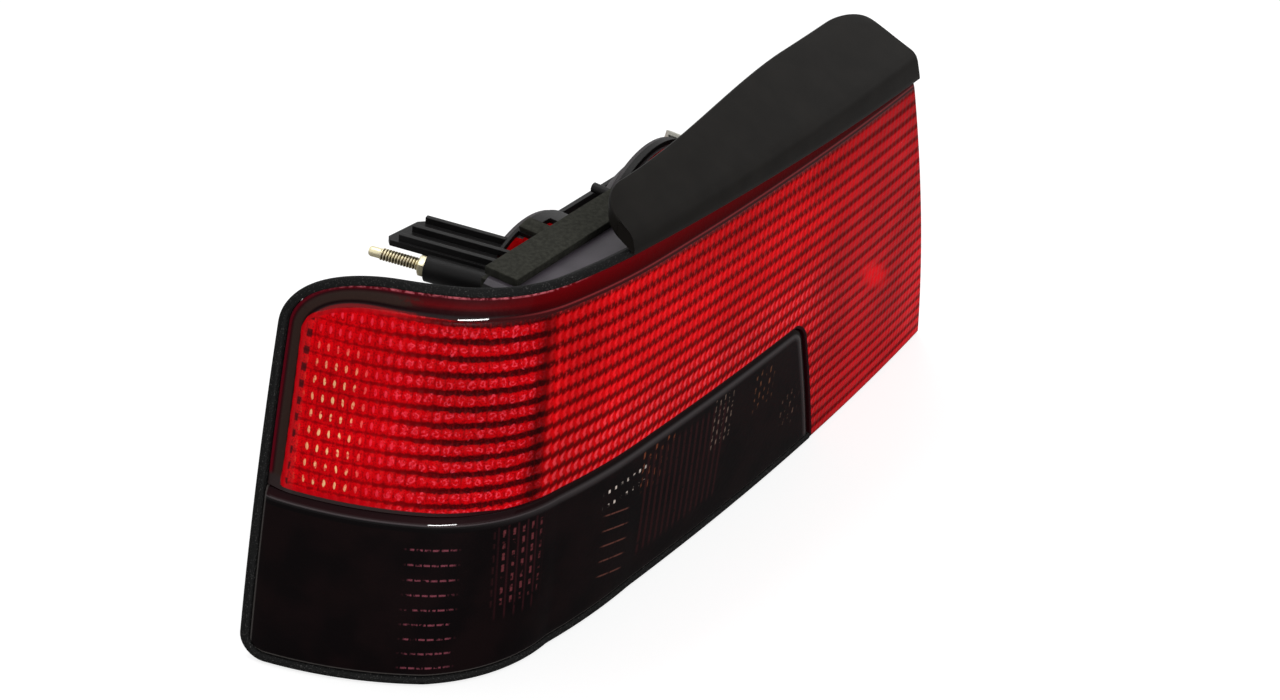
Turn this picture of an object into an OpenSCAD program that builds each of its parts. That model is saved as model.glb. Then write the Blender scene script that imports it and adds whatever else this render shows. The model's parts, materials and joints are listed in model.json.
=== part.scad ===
// Left rear lamp cluster that wraps round the corner of a car body.
// +X runs towards the middle of the car, +Y towards its front, +Z up.
// The origin is the seat of the outer mounting stud.
// Lens shapes are drawn on the lens face: s is the distance along its curve in plan,
// from the front end of the side, z is the height over the first row of prisms, and
// depth is measured square to the curve, into the lamp.

/* [Lens curve in plan] */
// Direction of the side face at its front end, in degrees from +X
side_heading = -93; // [-96:0.5:-90]
// Radius of the side face
side_radius = 170; // [150:5:200]
// Angle that the side face turns through
side_turn = 23; // [20:0.5:26]
// Radius of the corner
corner_radius = 75; // [68:1:84]
// Angle that the corner turns through
corner_turn = 44; // [40:0.5:48]
// Radius of the blend from the corner to the rear face
shoulder_radius = 360; // [300:10:420]
// Angle that the blend turns through
shoulder_turn = 10; // [8:0.5:11]
// Radius of the rear face
rear_radius = 2400; // [1800:50:4000]

/* [Lens face] */
// Lean of the side face, foot outwards, in degrees
side_lean = 12.3; // [8:0.1:14]
// Lean of the rear face, foot outwards, in degrees
rear_lean = 4; // [2:0.1:6]
// Radius of the lens face seen from the side
barrel_radius = 1600; // [1200:50:2400]
// Height of the rim over the first row of prisms
rim_top = 21; // [19:0.5:24]
// Depth of the rim below the first row of prisms
rim_foot = 184; // [180:1:190]
// Distance of the rim's outer end from the start of the side curve
rim_start = 11; // [9:0.5:13]
// Length along the curve to the rim's inner end, at its top
rim_length = 434; // [428:1:440]
// Slant of the inner end, in degrees from upright
end_slant = 20.5; // [18:0.5:22]
// Width of the rounded upper outer corner
corner_width = 56; // [52:1:60]
// Height of the rounded upper outer corner
corner_height = 33; // [30:1:38]
// Radius of the lower outer corner
foot_corner = 12; // [10:0.5:16]
// Wall of both lenses
lens_wall = 3; // [2.4:0.1:3.4]

/* [Prisms] */
// Height of one row of prisms
prism_pitch = 8.2; // [8:0.1:8.4]
// Rows over the whole length of the upper lens
upper_rows = 11; // [10:1:11]
// Further rows in its inner lower part
lower_rows = 10; // [8:1:10]
// Depth of a prism
prism_depth = 1.6; // [0.8:0.1:2]
// Distance of the prism field from the start of the side curve
field_start = 6; // [4:1:12]
// Start of the optics in the smoked lens
smoked_field_start = 45; // [40:1:60]

/* [Smoked lens] */
// Depth of the parting line below the first row of prisms
parting_drop = 92; // [91:0.5:93]
// Length along the curve to the smoked lens's inner end
smoked_length = 333; // [325:1:340]
// Radius of its upper inner corner
smoked_corner = 11; // [8:0.5:12]
// Gap between the two lenses
parting_gap = 0.3; // [0.2:0.05:0.5]

/* [Rim seal] */
// Width of the seal round the lenses
seal_width = 4.4; // [3.8:0.1:5]
// Depth of the seal behind the lens face
seal_depth = 6; // [5.5:0.1:7]
// Height of the seal proud of the lens face
seal_proud = 0.8; // [0.4:0.1:1.2]
// Thickness of the seal's outer edge
seal_lip = 1.4; // [1:0.1:2]
// Thickness of the seal where it grips the flange
seal_root = 1.4; // [1:0.1:2]

/* [Housing] */
// Wall of the housing
wall = 2.5; // [2:0.1:3]
// Distance of the housing's walls inside the rim
wall_inset = 9; // [8:0.5:10]
// Width of the flange that carries the lenses
flange_width = 6; // [5:0.5:6.5]
// Thickness of that flange
flange_thickness = 3; // [2:0.5:4]
// Sweep of the housing's back, in degrees from square across the car
body_sweep = 13.5; // [12:0.5:15]
// Distance of the back wall in front of the datum
back_distance = 58; // [54:1:62]
// Place of the outer wall of the main chamber, across the back
body_start = 56; // [54:0.5:58]
// Depth of the side wing
wing_depth = 17; // [15:0.5:18]
// Radius of the housing's corners
body_corner = 7; // [5:0.5:9]
// Thickness of the walls between the chambers
divider = 2; // [1.5:0.1:3]

/* [Chamber mouths] */
// Place of the outer upper mouth, across the back
mouth_start = 122.5; // [121:0.5:124]
// Distance between the upper mouths
mouth_pitch = 104; // [100:0.5:106]
// Depth of the upper mouths below the first row of prisms
upper_mouth_drop = 38; // [37:0.5:40]
// Depth of the lower mouths below the first row of prisms
lower_mouth_drop = 134; // [133:0.5:135]
// Places of the three lower mouths, across the back
lower_mouth_outer = 118; // [112:1:122]
// Place of the lower middle mouth, across the back
lower_mouth_middle = 222; // [216:1:226]
// Place of the lower inner mouth, across the back
lower_mouth_inner = 362; // [356:1:366]
// Outer radius of the upper mouths
upper_mouth_radius = 46; // [43:0.5:47]
// Outer radius of the lower mouths
lower_mouth_radius = 36; // [33:0.5:37]
// Length of the mouths
mouth_length = 22; // [18:1:24]
// Width of the ring left in front of a window
window_ring = 3.5; // [2.5:0.5:5]

/* [Reflectors] */
// Depth of a dish
dish_depth = 22; // [18:0.5:24]
// Wall of a dish
dish_wall = 1.5; // [1.2:0.1:2]
// Thickness of the reflector unit's plate
unit_plate = 2.5; // [2:0.1:3]
// Radius of the hole for the bulb
bulb_hole = 10; // [9.5:0.1:11]

/* [Bulb carrier] */
// Thickness of the carrier
carrier_plate = 2.5; // [2:0.1:3]
// Radius of a bulb's base
base_radius = 7.5; // [7:0.1:8]
// Length of a bulb's base
base_length = 13; // [11:0.5:14]
// Radius of a large bulb's glass
bulb_radius = 12.5; // [11:0.5:13]
// Radius of a small bulb's glass
small_bulb_radius = 9; // [8:0.5:10]
// Wall of a socket's sleeve
sleeve_wall = 0.6; // [0.5:0.1:0.8]
// Radius of a socket's collar
socket_collar = 10; // [9.5:0.1:10.5]
// Thickness of the contact tracks
track_thickness = 0.8; // [0.6:0.1:1]
// Width of the contact tracks
track_width = 3; // [2.5:0.1:3.2]
// Distance between the connector's pins
pin_pitch = 5; // [4.8:0.1:5.4]
// Length of the connector's pins
pin_length = 11; // [9:0.5:12]
// Height of the connector's shroud
shroud_height = 16; // [14:0.5:18]
// Length of the connector's shroud
shroud_length = 24; // [20:0.5:26]

/* [Studs] */
// Radius of a stud's thread
stud_radius = 3; // [2.5:0.5:3]
// Length of thread in front of the collar
stud_length = 26; // [20:1:30]
// Width across the flats of the collar
collar_flats = 10; // [9:0.5:11]
// Thickness of the collar
collar_thickness = 4; // [3:0.5:5]
// Radius of the stud bosses
boss_radius = 7; // [6:0.5:7.5]

/* [Locating finger] */
// Width of the finger
finger_width = 25; // [22:1:27]
// Length of the finger in front of the back wall
finger_length = 67; // [55:1:70]
// Thickness of its plate
finger_plate = 3; // [2.5:0.1:4]
// Height of its ribs
finger_rib = 4; // [3:0.5:5]

/* [Foam seal] */
// Width of the foam strip
foam_width = 18; // [16:1:20]
// Thickness of the foam strip
foam_thickness = 4; // [3:0.5:5]

/* [Upper trim] */
// Height of the crease over the first row of prisms
crease_height = 30; // [28:0.5:32]
// Distance along the curve to the trim's outer end
trim_start = 164; // [160:1:170]
// Width of the top at its outer end
trim_width_outer = 22; // [20:0.5:25]
// Width of the top at its inner end
trim_width_inner = 34.5; // [30:0.5:36]
// Rise of the top towards the front of the car, in degrees
trim_rise = 28; // [24:1:30]
// Wall of the trim
trim_wall = 2.2; // [1.8:0.1:2.6]

/* [Hidden] */
$fn = 72;

// Seat of the outer stud, from the start of the side curve
stud_x = 72;
stud_y = -25;
stud_z = -10;
fit = 0.3;
slack = 0.1;
cut = 1;

// Poses along the plan curve: place and direction where each arc starts
function turned(pose, radius, angle) = let (h = pose[2], k = pose[2] + angle)
    [pose[0] + radius * (sin(k) - sin(h)), pose[1] - radius * (cos(k) - cos(h)), k];
function arc_length(radius, angle) = radius * angle * PI / 180;
function arc_angle(radius, length) = length / radius * 180 / PI;
side_pose = [0, 0, side_heading];
corner_pose = turned(side_pose, side_radius, side_turn);
shoulder_pose = turned(corner_pose, corner_radius, corner_turn);
rear_pose = turned(shoulder_pose, shoulder_radius, shoulder_turn);
corner_s = arc_length(side_radius, side_turn);
shoulder_s = corner_s + arc_length(corner_radius, corner_turn);
rear_s = shoulder_s + arc_length(shoulder_radius, shoulder_turn);
function pose_at(s) =
    s < corner_s ? turned(side_pose, side_radius, arc_angle(side_radius, s)) :
    s < shoulder_s ? turned(corner_pose, corner_radius, arc_angle(corner_radius, s - corner_s)) :
    s < rear_s ? turned(shoulder_pose, shoulder_radius, arc_angle(shoulder_radius, s - shoulder_s)) :
    turned(rear_pose, rear_radius, arc_angle(rear_radius, s - rear_s));

// Point of the lens face at length s and height z, a depth inside it
function lean_at(heading) = let (w = (heading - side_heading) / (rear_pose[2] - side_heading))
    side_lean + (rear_lean - side_lean) * min(1, max(0, w));
function face_out(heading, z) = -z * tan(lean_at(heading)) - z * z / (2 * barrel_radius);
function face(s, z, depth) = let (p = pose_at(s), o = face_out(p[2], z) - depth)
    [p[0] + sin(p[2]) * o, p[1] - cos(p[2]) * o, z];

// Edges of the rim's outline, moved inwards by an inset
slant = tan(end_slant);
end_grow = 1 / cos(end_slant);
corner_mid_s = corner_width - rim_start;
corner_mid_z = rim_top - corner_height;
function outer_end(inset) = inset - rim_start;
function inner_end(z, inset) = rim_length + (rim_top - z) * slant - inset * end_grow;
function top_edge(s, inset) = s >= corner_mid_s ? rim_top - inset :
    let (u = min(1, (corner_mid_s - s) / (corner_width - inset)))
    corner_mid_z + (corner_height - inset) * sqrt(max(0, 1 - u * u));
function foot_edge(s, inset) = let (r = foot_corner - inset, u = outer_end(inset) + r - s)
    -rim_foot + inset + (u <= 0 || r <= 0 ? 0 : r - sqrt(max(0, r * r - u * u)));

// Stations along the curve: close together where it turns, wide on the rear face
fine_step = 8;
fine_end = 148;
wide_step = 24;
corner_steps = 7;
function corner_stations(inset) = [for (i = [0:corner_steps])
    corner_mid_s - (corner_width - inset) * cos(90 * i / corner_steps)];
fine_stations = [for (s = [corner_mid_s + fine_step:fine_step:fine_end]) s];
wide_stations = [for (s = [fine_end + wide_step:wide_step:rim_length - wide_step]) s];
level_steps = 5;

// Where the red lens covers the rim: the inner end, and the foot beyond the smoked lens
cover_step = 1.6;
covered_foot = smoked_line(-rim_foot) - 0.2;
function is_covered(s, z) = s > rim_length - 5 || (z < -parting_drop && s > covered_foot - cover_step / 2);

// The rim's outline as a closed path of [s, z], moved inwards by an inset
function rim_path(inset) = let (r = max(1, foot_corner - inset), z0 = r + inset - rim_foot) concat(
    [for (i = [0:4]) let (a = 270 - 22.5 * i) [outer_end(inset) + r * (1 + cos(a)), z0 + r * sin(a)]],
    [for (i = [1:level_steps]) [outer_end(inset), z0 + (corner_mid_z - z0) * i / (level_steps + 1)]],
    [for (s = corner_stations(inset)) [s, top_edge(s, inset)]],
    [for (s = concat(fine_stations, wide_stations)) [s, rim_top - inset]],
    [for (i = [0:level_steps + 1]) let (z = rim_top - inset
        - (rim_top + rim_foot - 2 * inset) * i / (level_steps + 1)) [inner_end(z, inset), z]],
    [for (s = [rim_length + wide_step:-wide_step:covered_foot + wide_step / 3]) [s, -rim_foot + inset]],
    [for (s = [covered_foot, each [covered_foot - cover_step:-wide_step:fine_end + fine_step]])
        [s, -rim_foot + inset]],
    [for (s = [fine_end - 0.4 * fine_step:-fine_step:foot_corner]) [s, -rim_foot + inset]]);

// Closed strip along the rim: a section of [inset, depth] points carried round the path.
// Where the red lens covers the rim, no point lies in front of the covered depth.
module rim_strip(section, covered = -100) {
    rings = [for (q = section) [for (p = rim_path(q[0]))
        face(p[0], p[1], is_covered(p[0], p[1]) ? max(q[1], covered) : q[1])]];
    m = len(section);
    n = len(rings[0]);
    polyhedron([for (i = [0:n - 1], k = [0:m - 1]) rings[k][i]],
        [for (i = [0:n - 1], k = [0:m - 1]) let (a = i * m, b = (i + 1) % n * m, l = (k + 1) % m)
            each [[a + k, b + l, b + k], [a + k, a + l, b + l]]]);
}

// Closed block between two grids of points, without the cells below a row and left of a column
function halves(a, b, c, d) = [[a, b, c], [a, c, d]];
module grid_block(front, back, notch_row = 9999, notch_col = 0) {
    rows = len(front) - 1;
    cols = len(front[0]) - 1;
    n = (rows + 1) * (cols + 1);
    function at(i, j) = i * (cols + 1) + j;
    function cell(i, j) = i >= 0 && j >= 0 && i < rows && j < cols
        && (i < notch_row || j >= notch_col);
    polyhedron(concat([for (r = front) each r], [for (r = back) each r]),
        [for (i = [0:rows - 1], j = [0:cols - 1]) if (cell(i, j))
            let (a = at(i, j), b = a + 1, c = at(i + 1, j), d = c + 1) each concat(
                halves(a, b, d, c), halves(n + a, n + c, n + d, n + b),
                cell(i - 1, j) ? [] : halves(a, n + a, n + b, b),
                cell(i + 1, j) ? [] : halves(c, d, n + d, n + c),
                cell(i, j - 1) ? [] : halves(a, c, n + c, n + a),
                cell(i, j + 1) ? [] : halves(b, n + b, n + d, d))]);
}

// Everything in front of the lens face, from a depth inside it outwards
module in_front_of_face(depth) {
    margin = 40;
    stations = concat([for (s = [-margin:fine_step:fine_end]) s],
        [for (s = [fine_end + 0.6 * wide_step:wide_step:rim_length + 3 * margin]) s]);
    levels = [for (i = [0:level_steps]) rim_top + margin - i * (rim_top + rim_foot + 2 * margin) / level_steps];
    grid_block([for (z = levels) [for (s = stations) face(s, z, -2 * margin)]],
        [for (z = levels) [for (s = stations) face(s, z, depth)]]);
}

// Lens edges, inside the seal
lens_inset = seal_width + 0.2;
covering_inset = 0.2;
red_foot = -parting_drop + parting_gap / 2;
smoked_top = -parting_drop - parting_gap / 2;
half_pitch = prism_pitch / 2;
function smoked_line(z) = smoked_length + (-parting_drop - z) * slant;
function rounding(r, u) = u >= r ? 0 : r - sqrt(max(0, r * r - (r - u) * (r - u)));
function notch_at(z, gap) = let (u = max(0, -parting_drop - z))
    smoked_line(z) - rounding(smoked_corner, u) + gap;
notch_s = smoked_length - smoked_corner;
outer_columns = concat(corner_stations(lens_inset), [for (s = fine_stations) s],
    [for (i = [1:8]) fine_end + (notch_s - fine_end) * i / 8]);
notch_column = len(outer_columns) - 1;
inner_columns = 7;
field_inset = 12;

// Levels of the prism rows: a groove, then a crest, all the way down
upper_levels = concat([rim_top - lens_inset, half_pitch + cut],
    [for (i = [0:2 * upper_rows]) half_pitch * (1 - i)], [red_foot]);
notch_row = len(upper_levels) - 1;
lower_start = half_pitch * (1 - 2 * upper_rows);
lower_levels = concat([for (i = [2:2 * lower_rows]) lower_start - half_pitch * i],
    [-rim_foot + covering_inset]);
red_levels = concat(upper_levels, lower_levels);
squeeze_foot = -30;
function red_z(i, s) = let (z = red_levels[i])
    z <= squeeze_foot ? z : squeeze_foot + (z - squeeze_foot)
        * (top_edge(s, lens_inset) - squeeze_foot) / (rim_top - lens_inset - squeeze_foot);
function red_s(i, j) = j <= notch_column && i <= notch_row ? outer_columns[j] :
    let (z = red_levels[i], u = (j - notch_column) / (inner_columns - 1),
        s0 = i <= notch_row ? notch_s : notch_at(z, parting_gap))
    u > 1 ? inner_end(z, covering_inset) : s0 + (inner_end(z, field_inset) - s0) * max(0, u);
function is_crest(i) = i > 2 && i % 2 == 1;
function in_red_field(i, j) = let (s = red_s(i, j), z = red_levels[i])
    i > 2 && i < len(red_levels) - 1 && s > field_start
    && j < notch_column + inner_columns - 1 && (i < notch_row || j > notch_column);

module red_lens() color([0.78, 0.03, 0.03]) to_origin() {
    rows = len(red_levels) - 1;
    cols = notch_column + inner_columns;
    grid_block(
        [for (i = [0:rows]) [for (j = [0:cols]) let (s = red_s(i, j)) face(s, red_z(i, s), 0)]],
        [for (i = [0:rows]) [for (j = [0:cols]) let (s = red_s(i, j),
            crest = is_crest(i) && in_red_field(i, j) ? prism_depth : 0)
            face(s, red_z(i, s), lens_wall + crest)]],
        notch_row, notch_column);
}

smoked_levels = concat([smoked_top, smoked_top - smoked_corner * 0.3, smoked_top - smoked_corner],
    [for (z = [smoked_top - smoked_corner - half_pitch:-half_pitch:-rim_foot + 3 * lens_inset]) z],
    [-rim_foot + lens_inset]);
smoked_columns = concat(corner_stations(lens_inset), [for (s = fine_stations) s]);
smoked_split = len(smoked_columns) - 1;
smoked_wide = 8;
function smoked_s(i, j) = j <= smoked_split ? smoked_columns[j] :
    let (u = (j - smoked_split) / smoked_wide,
        s1 = i == 0 ? notch_s : notch_at(smoked_levels[i], -parting_gap))
    smoked_columns[smoked_split] * (1 - u) + s1 * u;
function smoked_z(i, s) = max(smoked_levels[i], foot_edge(s, lens_inset)
    + (len(smoked_levels) - 1 - i) * 0.5);

module smoked_lens() color([0.1, 0.06, 0.07]) to_origin() {
    rows = len(smoked_levels) - 1;
    cols = smoked_split + smoked_wide;
    grid_block(
        [for (i = [0:rows]) [for (j = [0:cols]) let (s = smoked_s(i, j)) face(s, smoked_z(i, s), 0)]],
        [for (i = [0:rows]) [for (j = [0:cols]) let (s = smoked_s(i, j), z = smoked_z(i, s),
            crest = i % 2 == 1 && i > 2 && i < rows - 1 && s > smoked_field_start
                && j < cols ? prism_depth / 2 : 0)
            face(s, z, lens_wall + crest)]]);
}

module rim_seal() color([0.06, 0.06, 0.06]) to_origin()
    rim_strip([[seal_width, -seal_proud / 2], [seal_width / 2, -seal_proud], [0.4, 0],
        [0.2, seal_lip], [seal_width - seal_root, seal_depth], [seal_width, seal_depth]], flange_depth);

// Frames: the row's origin, and the housing's back, where x runs along it and y forwards
module to_origin() translate([-stud_x, -stud_y, -stud_z]) children();
module across_back() to_origin() rotate([0, 0, -body_sweep]) children();
module slab(y0, y1) translate([0, y1, 0]) rotate([90, 0, 0]) linear_extrude(y1 - y0) children();
module rod(x, z, r, y0, y1) translate([x, y1, z]) rotate([90, 0, 0]) cylinder(r = r, h = y1 - y0);

// Polygon with each corner replaced by an arc
function unit(v) = v / norm(v);
function arc_corner(a, b, c, r) = let (u = unit(a - b), v = unit(c - b), half = acos(u * v) / 2,
    mid = b + unit(u + v) * r / sin(half), t = r / tan(half), p = b + u * t - mid, q = b + v * t - mid)
    [for (k = [0:4]) let (w = unit(p * (4 - k) + q * k)) mid + w * r];
module rounded(points, r) {
    n = len(points);
    polygon([for (i = [0:n - 1]) each arc_corner(points[(i + n - 1) % n], points[i], points[(i + 1) % n], r)]);
}

// The housing's outline across the back
back_y = -back_distance;
body_top = rim_top - wall_inset;
body_foot = -rim_foot + wall_inset;
end_x = face_x(rim_length);
function face_x(s) = let (p = pose_at(s)) p[0] * cos(body_sweep) - p[1] * sin(body_sweep);
function end_at(z, inset) = end_x + (rim_top - z) * slant - (wall_inset + inset) * end_grow;
module body_outline(inset) rounded([[body_start - wall + inset, body_top - inset],
    [end_at(body_top - inset, inset), body_top - inset], [end_at(body_foot + inset, inset), body_foot + inset],
    [body_start - wall + inset, body_foot + inset]], max(1, body_corner - inset));

// Chambers: their corners across the back, from the walls and the dividers
split_z = -parting_drop;
half_wall = divider / 2;
upper_split_outer = mouth_start + mouth_pitch / 2;
upper_split_inner = mouth_start + mouth_pitch * 1.5;
lower_split = (lower_mouth_outer + lower_mouth_middle) / 2;
smoked_end = face_x(smoked_length);
function smoked_end_at(z) = smoked_end + (-parting_drop - z) * slant;
chamber_top = body_top - wall;
chamber_foot = body_foot + wall;
chambers = [
    [[body_start, chamber_top], [upper_split_outer - half_wall, chamber_top],
        [upper_split_outer - half_wall, split_z + half_wall], [body_start, split_z + half_wall]],
    [[upper_split_outer + half_wall, chamber_top], [upper_split_inner - half_wall, chamber_top],
        [upper_split_inner - half_wall, split_z + half_wall],
        [upper_split_outer + half_wall, split_z + half_wall]],
    [[upper_split_inner + half_wall, chamber_top], [end_at(chamber_top, wall), chamber_top],
        [end_at(split_z, wall), split_z + half_wall], [upper_split_inner + half_wall, split_z + half_wall]],
    [[body_start, split_z - half_wall], [lower_split - half_wall, split_z - half_wall],
        [lower_split - half_wall, chamber_foot], [body_start, chamber_foot]],
    [[lower_split + half_wall, split_z - half_wall], [smoked_end_at(split_z) - half_wall, split_z - half_wall],
        [smoked_end_at(chamber_foot) - half_wall, chamber_foot], [lower_split + half_wall, chamber_foot]],
    [[smoked_end_at(split_z) + half_wall, split_z - half_wall], [end_at(split_z, wall), split_z - half_wall],
        [end_at(chamber_foot, wall), chamber_foot], [smoked_end_at(chamber_foot) + half_wall, chamber_foot]]];

// Mouths: place across the back, height and outer radius
mouths = [[mouth_start, -upper_mouth_drop, upper_mouth_radius],
    [mouth_start + mouth_pitch, -upper_mouth_drop, upper_mouth_radius],
    [mouth_start + 2 * mouth_pitch, -upper_mouth_drop, upper_mouth_radius],
    [lower_mouth_outer, -lower_mouth_drop, lower_mouth_radius],
    [lower_mouth_middle, -lower_mouth_drop, lower_mouth_radius],
    [lower_mouth_inner, -lower_mouth_drop, lower_mouth_radius]];
mouth_y = back_y + mouth_length;

// Wedge of a mouth between two angles, for windows and the foam tab
module sector(mouth, r0, r1, a0, a1, y0, y1)
    translate([mouth[0], y1, mouth[1]]) rotate([90, 0, 0]) rotate([0, 0, a0])
        rotate_extrude(angle = a1 - a0) translate([r0, 0]) square([r1 - r0, y1 - y0]);

// Studs: place in the row's directions and length of the boss
studs = [[stud_x, stud_z, stud_y], [378, -80, -98.6], [284, -160, -76]];
wing_stop = 112;
wing_inset = wall_inset + 0.6;
function wing_levels(inset, s) = [for (i = [0:level_steps]) let (t = top_edge(s, inset), b = -rim_foot + inset)
    t + (b - t) * i / level_steps];
module wing(inset, d0, d1) {
    stations = concat(corner_stations(inset), [for (s = [corner_mid_s + 0.7 * fine_step:fine_step:wing_stop]) s]);
    columns = [for (s = stations) wing_levels(inset, s)];
    grid_block([for (i = [0:level_steps]) [for (j = [0:len(stations) - 1]) face(stations[j], columns[j][i], d0)]],
        [for (i = [0:level_steps]) [for (j = [0:len(stations) - 1]) face(stations[j], columns[j][i], d1)]]);
}
flange_depth = lens_wall + 0.2;
trim_posts = [200, 290, 380];
post_depth = 16;
post_radius = 4;
clip_radius = 3;

module finger() {
    root = [stud_x - 0.5, -80];
    top = -1;
    tip = root[1] + finger_length + 6;
    translate([0, 0, top - finger_plate]) linear_extrude(finger_plate)
        polygon([root, [root[0], tip - 2], [root[0] + 3, tip], [root[0] + finger_width - 3, tip - 6],
            [root[0] + finger_width, tip - 10], [root[0] + finger_width, root[1] - 8]]);
    for (k = [0:2]) translate([root[0] + 1 + k * (finger_width - 4) / 2, root[1], top - cut / 2])
        cube([2.4, finger_length - 2 * k, finger_rib]);
}

module housing_body() {
    difference() {
        across_back() slab(-140, back_y) body_outline(0);
        to_origin() in_front_of_face(flange_depth + 2.6);
    }
    to_origin() wing(wing_inset, flange_depth + 2, wing_depth);
    across_back() {
        for (m = mouths) rod(m[0], m[1], m[2], back_y - wall / 2, mouth_y);
        rod(mouth_start + mouth_pitch / 2, 3, 2.5, back_y - 1, back_y + 22);
        rod(mouth_start - 39, -8.5, 2.4, back_y - 1, back_y + 35);
    }
    to_origin() {
        for (p = studs) rod(p[0], p[1], boss_radius, -p[0] * tan(body_sweep)
            - back_distance / cos(body_sweep) - 2, p[2] - collar_thickness);
        finger();
    }
}

module housing() color([0.13, 0.13, 0.13]) {
    difference() {
        housing_body();
        across_back() {
            for (c = chambers) slab(-160, back_y - wall) rounded(c, 3);
            for (m = mouths) rod(m[0], m[1], m[2] - wall, back_y - wall - cut, mouth_y + cut);
            sector(mouths[1], upper_mouth_radius - wall - cut, upper_mouth_radius + cut, 38, 146,
                back_y + fit, mouth_y - window_ring);
            sector(mouths[0], upper_mouth_radius - wall - cut, upper_mouth_radius + cut, 106, 130,
                back_y + 12, mouth_y - window_ring / 2);
            sector(mouths[0], upper_mouth_radius - wall - cut, upper_mouth_radius + cut, 83, 95,
                back_y + 9.5, mouth_y - 2 * window_ring);
        }
        difference() {
            to_origin() wing(wing_inset + wall, -10, wing_depth - wall);
            across_back() translate([body_start - wall, -200, -250]) cube([200, 250, 400]);
        }
        to_origin() {
            for (p = studs) rod(p[0], p[1], stud_radius + slack, p[2] - 26, p[2]);
            for (s = trim_posts) translate(face(s, body_top - wall - cut, post_depth))
                cylinder(r = clip_radius + slack, h = wall + 2 * cut);
        }
    }
    to_origin() rim_strip([[seal_width + slack, flange_depth], [seal_width + slack, flange_depth + flange_thickness],
        [seal_width + flange_width, flange_depth + flange_thickness], [seal_width + flange_width, flange_depth]]);
}

module side_reflector() color([0.8, 0.8, 0.82]) to_origin() {
    stations = [for (s = [8:6:80]) s];
    levels = [for (i = [0:3]) -4 - i * (parting_drop - 10) / 3];
    grid_block([for (z = levels) [for (s = stations) face(s, z, wing_depth - wall - fit - dish_wall)]],
        [for (z = levels) [for (s = stations) face(s, z, wing_depth - wall - fit)]]);
}

// Foam strip round the top, the inner end and the foot, with a leg on the back wall
foam_back = back_y + 3;
foam_front = foam_back - foam_width;
module foam_seal() color([0.25, 0.27, 0.24]) across_back() {
    difference() {
        slab(foam_front, foam_back) body_outline(-foam_thickness);
        slab(foam_front - cut, foam_back + cut) body_outline(0);
        translate([body_start - 30, foam_front - cut, -rim_foot - 20])
            cube([34, foam_width + 2 * cut, rim_foot + rim_top + 40]);
    }
    translate([body_start + 3, back_y, body_foot + 2])
        cube([12, foam_thickness, body_top - body_foot - 4]);
    sector(mouths[0], upper_mouth_radius, upper_mouth_radius + 3, 95.5, 105.5, back_y, mouth_y - 2);
}

// Upper trim: a hollow section of [depth, z] points carried along the curve
trim_end = inner_end(crease_height, 0);
trim_ramp_start = 170;
trim_ramp_end = 350;
trim_end_round = 30;
trim_slant_start = 310;
function smooth(t) = let (u = min(1, max(0, t))) u * u * (3 - 2 * u);
function trim_width(s) = let (w = trim_width_outer + (trim_width_inner - trim_width_outer)
        * smooth((s - trim_ramp_start) / (trim_ramp_end - trim_ramp_start)),
    a = min(1, (s - trim_start) / 20), b = min(1, (trim_end - s) / trim_end_round))
    7 + (w - 7) * sqrt(1 - (1 - a) * (1 - a)) * (0.6 + 0.4 * sqrt(1 - (1 - b) * (1 - b)));
function trim_lip(s) = rim_top - 1 - 8 * (s - trim_start) / (trim_end - trim_start);
trim_front = seal_proud + fit;
function trim_section(s) = let (w = trim_width(s), k = tan(trim_rise), zb = crease_height + w * k, t = trim_wall)
    [[-trim_front - t, trim_lip(s)], [-trim_front - t, rim_top + 0.6], [-trim_front - t + 0.4, crease_height - 5],
    [-0.6, crease_height - 0.8], [1.2, crease_height + 0.7],
    [w - 1.5, zb - 0.6], [w, zb - 1.6], [w, zb - 9], [w - t, zb - 9],
    [w - t, zb - 1.2 * t], [1.2 + t, crease_height - t], [-0.6 + t, crease_height - 5],
    [-trim_front, rim_top + 0.6], [-trim_front, trim_lip(s)]];
trim_stations = concat([for (i = [0:5]) trim_start + 20 * (1 - cos(18 * i))],
    [for (s = [trim_start + 36:18:trim_end - trim_end_round - 4]) s],
    [for (i = [0:4]) trim_end - trim_end_round * (1 - sin(22.5 * i))]);
module upper_trim() color([0.17, 0.17, 0.165]) to_origin() {
    sections = [for (s = trim_stations) [for (q = trim_section(s))
        face(s + (crease_height - q[1]) * slant * smooth((s - trim_slant_start) / 100), q[1], q[0])]];
    m = len(sections[0]);
    n = len(sections);
    polyhedron([for (r = sections) each r], concat(
        [for (i = [0:n - 2], k = [0:m - 1]) let (a = i * m, b = a + m, l = (k + 1) % m)
            each [[a + k, a + l, b + l], [a + k, b + l, b + k]]],
        [for (k = [0:m / 2 - 2]) each halves(m - 1 - k, m - 2 - k, k + 1, k)],
        [for (k = [0:m / 2 - 2]) let (e = (n - 1) * m) each halves(e + k, e + k + 1, e + m - 2 - k, e + m - 1 - k)]));
    for (s = trim_posts) translate(face(s, body_top, post_depth))
        cylinder(r = post_radius, h = crease_height + post_depth * tan(trim_rise) - body_top - trim_wall);
}

module trim_clips() color([0.85, 0.85, 0.8]) to_origin()
    for (s = trim_posts) translate(face(s, body_top - wall - cut, post_depth) - [0, 0, 4 - cut]) {
        cylinder(r = clip_radius, h = wall + 4);
        cylinder(r1 = clip_radius - 1, r2 = clip_radius + 1.2, h = 4 - fit);
    }

module mounting_studs() color([0.78, 0.68, 0.42]) to_origin() for (p = studs) {
    rod(p[0], p[1], stud_radius, p[2] - 25, p[2] + stud_length - 6);
    rod(p[0], p[1], stud_radius - 0.5, p[2] + stud_length - 6, p[2] + stud_length);
    translate([p[0], p[2], p[1]]) rotate([90, 0, 0])
        cylinder(r = collar_flats / 2 / cos(30), h = collar_thickness, $fn = 6);
}

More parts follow.
